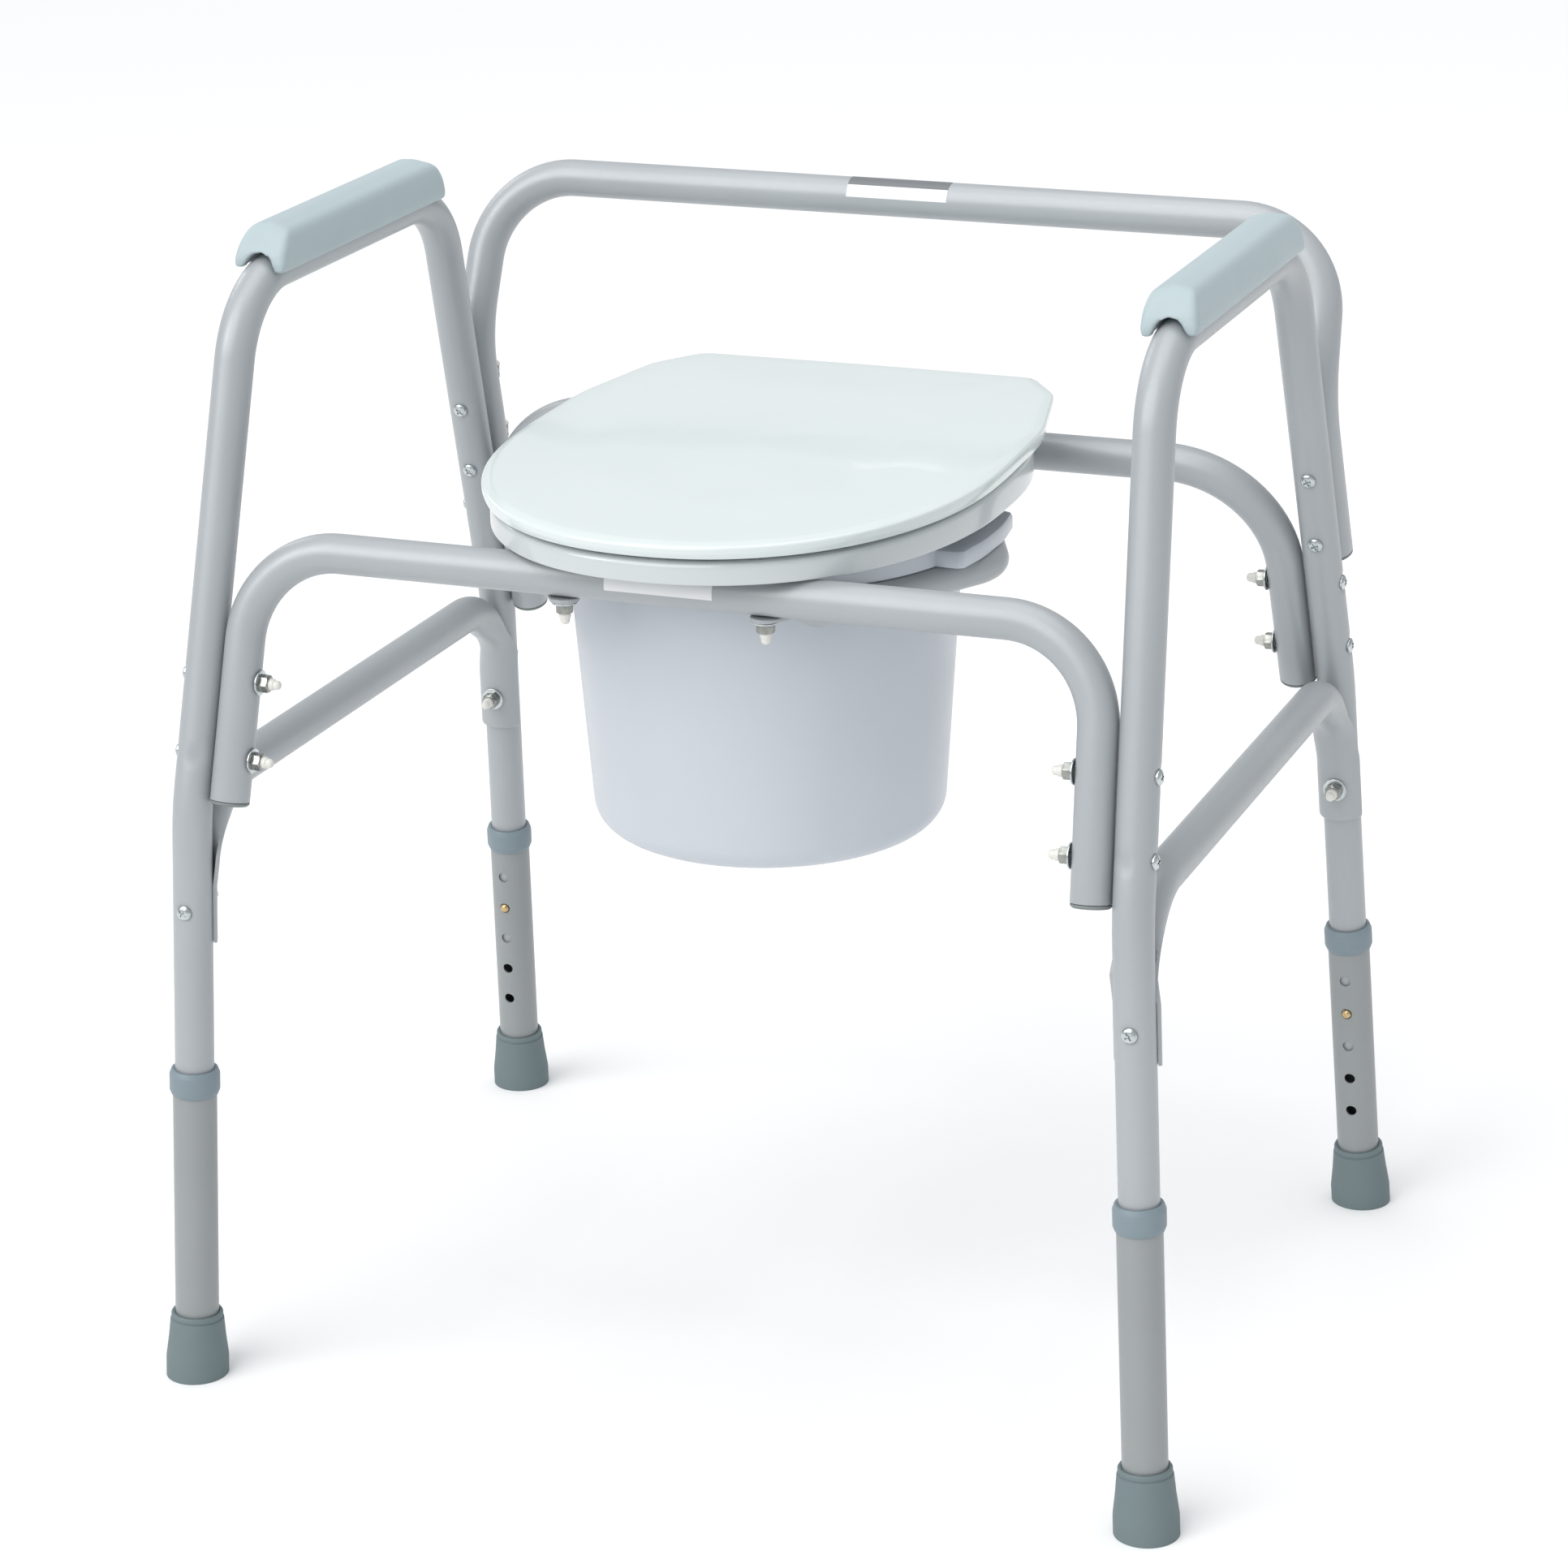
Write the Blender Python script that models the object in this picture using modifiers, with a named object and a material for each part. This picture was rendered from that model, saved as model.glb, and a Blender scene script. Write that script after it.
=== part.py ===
"""Bariatric commode chair, knocked down into its bolted tubes, seat, lid, pail and leg extensions.

The chair faces -Y and stands on z = 0 with the origin under its middle. Left is -X and right is +X,
as seen by someone standing in front of it. Metres throughout.
"""

import math

import bmesh
import bpy
from mathutils import Matrix, Vector

# ---------------------------------------------------------------- driving dimensions
TUBE_R = 0.0127  # 1 in frame tube
TUBE_SIDES = 12
CLEARANCE = 0.0003  # between pieces that touch
SPACING = 0.0262  # axis to axis of two tubes bolted side by side

FOOT_HALF_WIDTH = 0.3283  # leg axis from the middle, at the floor
SIDE_LEAN = 0.04  # each side frame leans in by this much per metre of height

# side frame, as (y, z) down the middle of its tube
FRONT_FOOT = (-0.2577, 0.0)
FRONT_KINK = (-0.2433, 0.392)
FRONT_CORNER = (-0.1599, 0.7163)
REAR_CORNER = (0.1198, 0.7163)
REAR_KINK = (0.2172, 0.401)
REAR_FOOT = (0.2577, 0.0)
CORNER_RADIUS = 0.062
KINK_RADIUS = 0.15
INNER_LEG_END = 0.115  # height at which the fixed leg ends inside its extension
INNER_LEG_BORE = 0.0110
BORE_TOP = 0.196

FRONT_BAR_Z = 0.5585
FRONT_BAR_END_Z = 0.401
REAR_BAR_Z = 0.556
REAR_BAR_END_Z = 0.400
REAR_BAR_BEND_RADIUS = 0.078
FRONT_BAR_BOLTS = (0.4767, 0.4285)
REAR_BAR_BOLTS = (0.4755, 0.4270)

BACK_BAR_END_Z = 0.483
BACK_BAR_BEND_Z = 0.5955
BACK_BAR_TOP = (0.222, 0.710)
BACK_BAR_BEND_RADIUS = 0.08
BACK_BAR_BOLTS = (0.5576, 0.5100)

BRACE_Z = 0.4017
BRACE_BEND_RADIUS = 0.050
SADDLE_THICKNESS = 0.0026
SADDLE_HALF_ANGLE = math.radians(75)
FRONT_SADDLE_END_Z = 0.303
REAR_SADDLE_END_Z = 0.3015
FRONT_BRACE_BOLT_Z = 0.3266
REAR_BRACE_BOLT_Z = 0.3253

RAIL_R = 0.0095
RAIL_BOLT_X = 0.0665
RAIL_CORNER = (0.157, -0.035)  # where the two straight runs would meet, seen from above
RAIL_BEND_RADIUS = 0.037
RAIL_Z = 0.5387
RAIL_TAB_END = 0.0095  # from the bolt to the end of the tab
RAIL_TAPER_START = 0.015
RAIL_TAPER_END = 0.040
RAIL_TAB_THICKNESS = 0.003
RAIL_TAB_WIDTH = 0.020

EXTENSION_R = 0.0143
EXTENSION_BORE = 0.0130
EXTENSION_TOP = 0.2140
EXTENSION_FOOT = 0.0125
HOLE_PITCH = 0.0254
HOLE_R = 0.0038
TOP_HOLE_Z = 0.179
HOLES = 5
BUTTON_R = 0.0033
COLLAR_R = 0.0164
COLLAR_TOP = 0.2166
COLLAR_HEIGHT = 0.0177
TIP_HEIGHT = 0.0446
TIP_TOP_R = 0.0176
TIP_FOOT_R = 0.0206

SHANK_R = 0.0029
HEAD_R = 0.0050
HEAD_HEIGHT = 0.0028
WASHER_R = 0.0081
WASHER_THICKNESS = 0.0011
NUT_R = 0.0058
NUT_HEIGHT = 0.0062
CAP_R = 0.0038
CAP_HEIGHT = 0.0078

SEAT_BOTTOM = 0.5722
SEAT_TOP = 0.5872
SEAT_HALF_WIDTH = 0.161
FRONT_POWER = 2.15  # of the superellipse at the front of the seat and lid
SEAT_RISE = 0.025  # how much its top rises per metre towards the rear
LID_BOTTOM = 0.5890
LID_EDGE_TOP = 0.5975
LID_CROWN = 0.6015
LID_RISE = 0.034
LID_HALF_WIDTH = 0.1645
SEAT_CLIPS_X = 0.040
LID_CLIPS_X = 0.095
CLIP_WIDTH = 0.018
CLIP_BORE = TUBE_R + CLEARANCE
CLIP_R = 0.0166

PAIL_Y = -0.034
PAIL_TOP = 0.568
PAIL_FLANGE_BOTTOM = 0.5485
PAIL_BOTTOM = 0.353
PAIL_FLANGE_R = 0.142
PAIL_EAR_X = 0.156
PAIL_EAR_HALF_LENGTH = 0.049
PAIL_EAR_TOP = 0.5600

PAD_FRONT = -0.138
PAD_REAR = 0.101
PAD_CHANNEL_R = 0.0135
PAD_ROLL = math.radians(5)  # each pad leans in over the seat by this much
PAD_HALF_SECTION = ((0.0176, 0.0035), (0.0182, 0.009), (0.0170, 0.018), (0.0135, 0.0285), (0.0, 0.031))

# ---------------------------------------------------------------- scene
for stale in list(bpy.data.objects):
    bpy.data.objects.remove(stale, do_unlink=True)

parts = bpy.data.collections.new("commode_chair")
bpy.context.scene.collection.children.link(parts)
cutters = bpy.data.collections.new("cutters")
bpy.context.scene.collection.children.link(cutters)


def material(name, colour, roughness, metallic=0.0):
    made = bpy.data.materials.new(name)
    made.use_nodes = True
    shader = made.node_tree.nodes["Principled BSDF"]
    shader.inputs["Base Color"].default_value = (*colour, 1)
    shader.inputs["Roughness"].default_value = roughness
    shader.inputs["Metallic"].default_value = metallic
    made.diffuse_color = (*colour, 1)
    return made


FRAME_PAINT = ((0.46, 0.48, 0.51), 0.38, 0.25)
EXTENSION_PAINT = ((0.38, 0.40, 0.40), 0.42, 0.25)
BLUE_GREY_PLASTIC = ((0.24, 0.31, 0.35), 0.5)
RUBBER = ((0.17, 0.22, 0.23), 0.7)
PAD_VINYL = ((0.48, 0.56, 0.60), 0.5)
WHITE_GLOSS = ((0.82, 0.87, 0.87), 0.18)
PAIL_PLASTIC = ((0.68, 0.70, 0.74), 0.3)
ZINC = ((0.62, 0.62, 0.60), 0.3, 0.9)
BRASS = ((0.65, 0.48, 0.26), 0.3, 1.0)
PLUG_PLASTIC = ((0.25, 0.26, 0.27), 0.6)


# ---------------------------------------------------------------- modelling helpers
def add_object(name, mesh, finish=None, collection=parts):
    made = bpy.data.objects.new(name, mesh)
    collection.objects.link(made)
    if finish and not mesh.materials:
        mesh.materials.append(material(name, *finish))
        mesh.shade_smooth()
        mesh.set_sharp_from_angle(angle=math.radians(35))
    if collection is cutters:
        made.hide_render = True
        made.display_type = "WIRE"
    return made


def mesh_from(bm, name):
    bmesh.ops.recalc_face_normals(bm, faces=bm.faces)
    mesh = bpy.data.meshes.new(name)
    bm.to_mesh(mesh)
    bm.free()
    return mesh


def baked(made):
    """The object's mesh with its modifiers applied; the object itself is removed."""
    graph = bpy.context.evaluated_depsgraph_get()
    mesh = bpy.data.meshes.new_from_object(made.evaluated_get(graph))
    bpy.data.objects.remove(made, do_unlink=True)
    return mesh


def tube_mesh(name, path, radius, sides=TUBE_SIDES):
    """A round bar along a path of points, with its end caps welded on."""
    curve = bpy.data.curves.new(name, "CURVE")
    curve.dimensions = "3D"
    curve.bevel_depth = radius
    curve.bevel_resolution = (sides - 4) // 2
    curve.use_fill_caps = True
    spline = curve.splines.new("POLY")
    spline.points.add(len(path) - 1)
    for point, place in zip(spline.points, path):
        point.co = (*place, 1)
    mesh = baked(add_object(name + "_guide", curve))
    bm = bmesh.new()
    bm.from_mesh(mesh)
    bmesh.ops.remove_doubles(bm, verts=bm.verts, dist=1e-6)
    return mesh_from(bm, name)


def loft_mesh(name, rings, closed_loop=False):
    """Skins rings of equal length, with flat ends unless the rings run round in a closed loop."""
    bm = bmesh.new()
    rows = [[bm.verts.new(p) for p in ring] for ring in rings]
    pairs = list(zip(rows, rows[1:]))
    if closed_loop:
        pairs.append((rows[-1], rows[0]))
    else:
        bm.faces.new(rows[0])
        bm.faces.new(rows[-1])
    for low, high in pairs:
        for k in range(len(low)):
            after = (k + 1) % len(low)
            bm.faces.new((low[k], low[after], high[after], high[k]))
    bmesh.ops.triangulate(bm, faces=[f for f in bm.faces if len(f.verts) > 4])
    return mesh_from(bm, name)


def cylinder_mesh(name, radius, start, end, sides=12, end_radius=None):
    start, end = Vector(start), Vector(end)
    along = end - start
    turn = along.to_track_quat("Z", "Y").to_matrix().to_4x4()
    bm = bmesh.new()
    bmesh.ops.create_cone(
        bm,
        cap_ends=True,
        segments=sides,
        radius1=radius,
        radius2=radius if end_radius is None else end_radius,
        depth=along.length,
        matrix=Matrix.Translation((start + end) / 2) @ turn,
    )
    return mesh_from(bm, name)


def turned_mesh(name, profile, steps=16, hollow=False):
    """Turns an (r, z) profile, outer side from top to bottom, about Z. A hollow profile closes on itself."""
    bm = bmesh.new()
    verts = [bm.verts.new((r, 0, z)) for r, z in profile]
    for a, b in zip(verts, verts[1:]):
        bm.edges.new((a, b))
    if hollow:
        bm.edges.new((verts[-1], verts[0]))
    mesh = bpy.data.meshes.new(name)
    bm.to_mesh(mesh)
    bm.free()
    turned = add_object(name + "_profile", mesh)
    screw = turned.modifiers.new("turn", "SCREW")
    screw.steps = steps
    screw.render_steps = steps
    screw.use_merge_vertices = True
    screw.merge_threshold = 0.00001
    result = baked(turned)
    bm = bmesh.new()
    bm.from_mesh(result)
    bmesh.ops.remove_doubles(bm, verts=bm.verts, dist=1e-6)
    return mesh_from(bm, name)


def combine(base, mesh, operation):
    """Adds or cuts a mesh as a Boolean modifier on an object."""
    tool = add_object(f"{base.name}_{len(base.modifiers)}_{operation.lower()}", mesh, collection=cutters)
    step = base.modifiers.new(operation.lower(), "BOOLEAN")
    step.operation = operation
    step.object = tool


def fillet(corners, radius, step_deg=9.0):
    """The corners as points joined by straight runs, each inner corner rounded to its radius."""
    corners = [Vector(c) for c in corners]
    radii = radius if isinstance(radius, (list, tuple)) else [radius] * (len(corners) - 2)
    path = [corners[0]]
    for before, corner, after, r in zip(corners, corners[1:], corners[2:], radii):
        back = (before - corner).normalized()
        on = (after - corner).normalized()
        turn = math.pi - back.angle(on)
        reach = r * math.tan(turn / 2)
        centre = corner + (back + on).normalized() * math.hypot(r, reach)
        first = corner + back * reach - centre
        last = corner + on * reach - centre
        steps = max(1, round(math.degrees(turn) / step_deg))
        for k in range(steps + 1):
            share = k / steps
            mixed = first * math.sin((1 - share) * turn) + last * math.sin(share * turn)
            path.append(centre + mixed / math.sin(turn))
    path.append(corners[-1])
    return path


# ---------------------------------------------------------------- where the frame runs
def leg_x(side, z):
    return side * (FOOT_HALF_WIDTH - SIDE_LEAN * z)


def on_line(a, b, z):
    """y at height z on the line through two (y, z) points."""
    return a[0] + (b[0] - a[0]) * (z - a[1]) / (b[1] - a[1])


def leg_point(side, end, z):
    """The middle of the leg tube at height z."""
    if end == "front":
        low, kink, high = FRONT_FOOT, FRONT_KINK, FRONT_CORNER
    else:
        low, kink, high = REAR_FOOT, REAR_KINK, REAR_CORNER
    y = on_line(low, kink, z) if z < kink[1] else on_line(kink, high, z)
    return Vector((leg_x(side, z), y, z))


def leg_down(side, end):
    """Unit vector down the lower leg."""
    return (leg_point(side, end, 0.0) - leg_point(side, end, 0.3)).normalized()


def leg_turn(side, end):
    """Rotation that sets +Z up the lower leg and +X towards the holes, on the leg's inner face along Y."""
    up = -leg_down(side, end)
    face = Vector((0, 1 if end == "front" else -1, 0))
    across = (face - up * face.dot(up)).normalized()
    return Matrix((across, up.cross(across), up)).transposed().to_4x4()


def place_on_leg(side, end, z):
    return Matrix.Translation(leg_point(side, end, z)) @ leg_turn(side, end)


OUTWARD = {side: Vector((side, 0, SIDE_LEAN)).normalized() for side in (-1, 1)}
SIDES = {"left": -1, "right": 1}
ENDS = ("front", "rear")

rear_slope = (REAR_CORNER[0] - REAR_KINK[0]) / (REAR_CORNER[1] - REAR_KINK[1])
BACKWARD = Vector((0, 1, -rear_slope)).normalized()  # square to the rear leg above its kink


# ---------------------------------------------------------------- fasteners
def bolt_mesh(name, grip):
    """A pan-head bolt down -Z from z = 0 with its washer, hexagon nut and thread cap, tightened at the grip."""
    profile = [(0, HEAD_HEIGHT), (HEAD_R * 0.6, HEAD_HEIGHT * 0.85), (HEAD_R, HEAD_HEIGHT * 0.35), (HEAD_R, 0), (0, 0)]
    head = turned_mesh(name, profile, steps=8)
    bolt = add_object(name, head)
    nut_top = -grip - WASHER_THICKNESS
    nut_end = nut_top - NUT_HEIGHT
    for radius, top, bottom, sides, end_radius in (
        (SHANK_R, HEAD_HEIGHT * 0.3, nut_end + 0.001, 6, SHANK_R),
        (WASHER_R, -grip, nut_top - 0.0001, 8, WASHER_R),
        (NUT_R, nut_top, nut_end, 6, NUT_R),
        (CAP_R, nut_end + 0.0005, nut_end - CAP_HEIGHT, 6, CAP_R * 0.7),
    ):
        combine(bolt, cylinder_mesh(name, radius, (0, 0, top), (0, 0, bottom), sides, end_radius), "UNION")
    bpy.context.view_layer.update()
    return baked(bolt)


def bolt_specs():
    """(name, middle of its first tube, direction from nut to head, reach to head, grip, drilled nodes)."""
    specs = []
    across_two = SPACING + 2 * TUBE_R + 2 * CLEARANCE
    for word, side in SIDES.items():
        for end, heights in (("front", FRONT_BAR_BOLTS), ("rear", REAR_BAR_BOLTS)):
            for level, z in zip(("upper", "lower"), heights):
                specs.append(
                    (
                        f"{end}_crossbar_bolt_{word}_{level}",
                        leg_point(side, end, z),
                        OUTWARD[side],
                        TUBE_R + CLEARANCE,
                        across_two,
                        (f"{word}_side_frame", f"{end}_crossbar"),
                    )
                )
        for level, z in zip(("upper", "lower"), BACK_BAR_BOLTS):
            specs.append(
                (
                    f"back_bar_bolt_{word}_{level}",
                    leg_point(side, "rear", z),
                    -BACKWARD,
                    TUBE_R + CLEARANCE,
                    across_two,
                    (f"{word}_side_frame", "back_bar"),
                )
            )
        saddle_grip = 2 * TUBE_R + SADDLE_THICKNESS + 3 * CLEARANCE
        for end, z, outward in (("front", FRONT_BRACE_BOLT_Z, -1), ("rear", REAR_BRACE_BOLT_Z, 1)):
            square = Vector((0, outward, 0))
            down = leg_down(side, end)
            square = (square - down * square.dot(down)).normalized()
            specs.append(
                (
                    f"{end}_brace_bolt_{word}",
                    leg_point(side, end, z),
                    square,
                    TUBE_R + CLEARANCE,
                    saddle_grip,
                    (f"{word}_side_frame", f"{word}_side_brace"),
                )
            )
            specs.append(
                (
                    f"{end}_rail_bolt_{word}",
                    Vector((side * RAIL_BOLT_X, *bar_line(end))),
                    Vector((0, 0, 1)),
                    TUBE_R + CLEARANCE,
                    2 * TUBE_R + RAIL_TAB_THICKNESS + 3 * CLEARANCE,
                    (f"{end}_crossbar", f"{word}_pail_rail"),
                )
            )
    return specs


def bar_line(end):
    """(y, z) of the level run of a crossbar."""
    z = FRONT_BAR_Z if end == "front" else REAR_BAR_Z
    return leg_point(1, end, z).y, z


# ---------------------------------------------------------------- frame tubes
def side_frame(word, side):
    def spot(yz):
        return Vector((leg_x(side, yz[1]), *yz))

    corners = [
        leg_point(side, "front", INNER_LEG_END),
        spot(FRONT_KINK),
        spot(FRONT_CORNER),
        spot(REAR_CORNER),
        spot(REAR_KINK),
        leg_point(side, "rear", INNER_LEG_END),
    ]
    radii = (KINK_RADIUS, CORNER_RADIUS, CORNER_RADIUS, KINK_RADIUS)
    name = f"{word}_side_frame"
    frame = add_object(name, tube_mesh(name, fillet(corners, radii), TUBE_R), FRAME_PAINT)
    for end in ENDS:
        bore = cylinder_mesh(
            f"{name}_{end}_bore",
            INNER_LEG_BORE,
            leg_point(side, end, INNER_LEG_END - 0.02),
            leg_point(side, end, BORE_TOP),
        )
        combine(frame, bore, "DIFFERENCE")
        middle = leg_point(side, end, TOP_HOLE_Z - HOLE_PITCH)
        facing = leg_turn(side, end).col[0].xyz
        button_hole = cylinder_mesh(f"{name}_{end}_hole", HOLE_R, middle, middle + facing * 0.02, 8)
        combine(frame, button_hole, "DIFFERENCE")
    return frame


def crossbar(end, top_z, end_z, bend_radius):
    def spot(side, z):
        return leg_point(side, end, z) - Vector((side * SPACING, 0, 0))

    corners = [spot(-1, end_z), spot(-1, top_z), spot(1, top_z), spot(1, end_z)]
    name = f"{end}_crossbar"
    bar = add_object(name, tube_mesh(name, fillet(corners, bend_radius, 10), TUBE_R), FRAME_PAINT)
    for word, side in SIDES.items():
        outward = (spot(side, end_z) - spot(side, top_z)).normalized()
        add_plug(bar, f"{name}_plug_{word}", spot(side, end_z), outward)
    return bar


def add_plug(tube, name, place, outward):
    """Bores a tube's end and fits its moulded plug, whose rim covers the cut."""
    stem, depth, rim = 0.0098, 0.010, 0.0022
    bore = cylinder_mesh(name, stem + 0.0008, place - outward * (depth + 0.001), place + outward * 0.01)
    combine(tube, bore, "DIFFERENCE")
    top = CLEARANCE + rim
    profile = [
        (0, top),
        (TUBE_R - 0.001, top),
        (TUBE_R, top - 0.001),
        (TUBE_R, CLEARANCE),
        (stem, CLEARANCE),
        (stem, -depth),
        (0, -depth),
    ]
    plug = add_object(name, turned_mesh(name, profile, 12), PLUG_PLASTIC)
    plug.matrix_world = Matrix.Translation(place) @ outward.to_track_quat("Z", "Y").to_matrix().to_4x4()


def back_bar():
    def behind(side, z):
        return leg_point(side, "rear", z) + BACKWARD * SPACING

    def top(side):
        return Vector((leg_x(side, BACK_BAR_TOP[1]), *BACK_BAR_TOP))

    corners = [behind(-1, BACK_BAR_END_Z), behind(-1, BACK_BAR_BEND_Z), top(-1)]
    corners += [Vector((-c.x, c.y, c.z)) for c in reversed(corners)]
    radii = (BACK_BAR_BEND_RADIUS, CORNER_RADIUS, CORNER_RADIUS, BACK_BAR_BEND_RADIUS)
    bar = add_object("back_bar", tube_mesh("back_bar", fillet(corners, radii, 10), TUBE_R), FRAME_PAINT)
    for word, side in SIDES.items():
        place = behind(side, BACK_BAR_END_Z)
        outward = (place - behind(side, BACK_BAR_BEND_Z)).normalized()
        add_plug(bar, f"back_bar_plug_{word}", place, outward)
    return bar


def side_brace(word, side):
    """A level tube whose two ends bend down and are pressed into saddles that hug the legs."""
    hug = TUBE_R + CLEARANCE
    middle_r = hug + SADDLE_THICKNESS / 2
    half = TUBE_SIDES // 2

    def saddle_ring(end, sign, z):
        """A crescent round the leg's inner face."""
        place = place_on_leg(side, end, z)
        spread = [SADDLE_HALF_ANGLE * (2 * k / (half - 1) - 1) for k in range(half)]
        over = 1 / math.cos(SADDLE_HALF_ANGLE / (half - 1))  # so that its flats clear the round leg
        polar = [((hug + SADDLE_THICKNESS) * over, a) for a in spread] + [(hug * over, -a) for a in spread]
        return [place @ Vector((r * math.cos(a), sign * r * math.sin(a), 0)) for r, a in polar]

    def round_ring(centre, inward):
        angles = [math.pi * ((k + 0.5) / half - 0.5) for k in range(TUBE_SIDES)]
        across = Vector((-TUBE_R, 0, 0))
        return [centre + inward * (TUBE_R * math.cos(a)) + across * math.sin(a) for a in angles]

    rings = []
    for end, low, sign in (("front", FRONT_SADDLE_END_Z, 1), ("rear", REAR_SADDLE_END_Z, -1)):
        up = -leg_down(side, end)
        lean = math.atan2(sign * up.y, up.z)
        centre = Vector((leg_x(side, BRACE_Z), 0, BRACE_Z - BRACE_BEND_RADIUS))
        start_z = centre.z + BRACE_BEND_RADIUS * math.sin(lean)
        centre.y = leg_point(side, end, start_z).y + sign * (middle_r + BRACE_BEND_RADIUS) * math.cos(lean)
        stretch = [saddle_ring(end, sign, z) for z in (low, start_z - 0.012)]
        pressed = saddle_ring(end, sign, start_z)
        start = leg_point(side, end, start_z) + Vector((0, sign * middle_r * math.cos(lean), 0))
        for k, roundness in enumerate((0.12, 0.55, 1, 1, 1, 1), 1):
            turn = lean + (math.pi / 2 - lean) * k / 6
            inward = Vector((0, sign * math.cos(turn), -math.sin(turn)))
            spot = centre - inward * BRACE_BEND_RADIUS
            carried = [p - start + spot for p in pressed]
            stretch.append([a.lerp(b, roundness) for a, b in zip(carried, round_ring(spot, inward))])
        rings += stretch if end == "front" else list(reversed(stretch))
    name = f"{word}_side_brace"
    return add_object(name, loft_mesh(name, rings), FRAME_PAINT)


def pail_rail(word, side):
    """A bent tube whose two flattened ends bolt up under the crossbars."""
    front_y, front_z = bar_line("front")
    rear_y, rear_z = bar_line("rear")
    drop = TUBE_R + CLEARANCE + RAIL_TAB_THICKNESS / 2
    front = Vector((RAIL_BOLT_X, front_y, front_z - drop))
    rear = Vector((RAIL_BOLT_X, rear_y, rear_z - drop))
    corner = Vector((*RAIL_CORNER, RAIL_Z))
    bend = fillet([front.xy.to_3d(), corner.xy.to_3d(), rear.xy.to_3d()], RAIL_BEND_RADIUS, 12)[1:-1]

    def section(centre, ahead, flat):
        """A ring square to the run in plan: round where flat is 0, a pressed tab where it is 1."""
        outward = Vector((ahead.y, -ahead.x, 0)).normalized()
        wide = RAIL_R + (RAIL_TAB_WIDTH / 2 - RAIL_R) * flat
        tall = RAIL_R + (RAIL_TAB_THICKNESS / 2 - RAIL_R) * flat
        ring = []
        for k in range(TUBE_SIDES):
            a = 2 * math.pi * (k + 0.5) / TUBE_SIDES
            rise = tall * (math.copysign(1, math.sin(a)) if flat == 1 else math.sin(a))
            p = centre + outward * (wide * math.cos(a)) + Vector((0, 0, rise))
            ring.append(Vector((side * p.x, p.y, p.z)))
        return ring

    rings = []
    for tab, sign in ((front, 1), (rear, -1)):
        ahead = ((corner - tab) * Vector((1, 1, 0))).normalized()
        tube_start = (tab + ahead * RAIL_TAPER_END) * Vector((1, 1, 0)) + Vector((0, 0, RAIL_Z))
        tapered = [(tab - ahead * RAIL_TAB_END, 1), (tab + ahead * RAIL_TAPER_START, 1), (tube_start, 0)]
        stretch = [section(centre, ahead * sign, flat) for centre, flat in tapered]
        if sign == 1:
            rings += stretch
            for before, spot, after in zip([tab] + bend, bend, bend[1:] + [rear]):
                rings.append(section(Vector((spot.x, spot.y, RAIL_Z)), after - before, 0))
        else:
            rings += list(reversed(stretch))
    name = f"{word}_pail_rail"
    return add_object(name, loft_mesh(name, rings), FRAME_PAINT)


# ---------------------------------------------------------------- arm pads
def pad_section(y, front_rake, rear_rake, side):
    """A moulded pad's outline at one station: a rounded crest over a channel that straddles the tube."""
    half = PAD_HALF_SECTION
    outer = list(half) + [(-u, v) for u, v in reversed(half[:-1])]
    arch = [math.radians(165 - 25 * k) for k in range(7)]
    channel = [(PAD_CHANNEL_R * math.cos(a), PAD_CHANNEL_R * math.sin(a)) for a in arch]
    middle = Vector((leg_x(side, FRONT_CORNER[1]), y, FRONT_CORNER[1]))
    roll = Matrix.Rotation(-side * PAD_ROLL, 4, "Y")
    ring = []
    for u, v in outer + channel:
        crest = max(0.0, v - 0.006) / 0.026
        lean = front_rake * crest**2 - rear_rake * (1 - math.sqrt(1 - min(1.0, crest) ** 2))
        ring.append(middle + roll @ Vector((u, 0, v)) + Vector((0, lean, 0)))
    return ring


def arm_pad(word, side):
    """A pad with a raked front, a rounded rear, and a channel underneath for the arm tube."""
    stations = ((0.0, 0.016, 0), (0.10, 0.008, 0), (0.30, 0, 0), (0.80, 0, 0), (0.93, 0, 0.008), (1.0, 0, 0.018))
    length = PAD_REAR - PAD_FRONT
    rings = [pad_section(PAD_FRONT + share * length, front, rear, side) for share, front, rear in stations]
    name = f"{word}_arm_pad"
    return add_object(name, loft_mesh(name, rings), PAD_VINYL)


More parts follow.
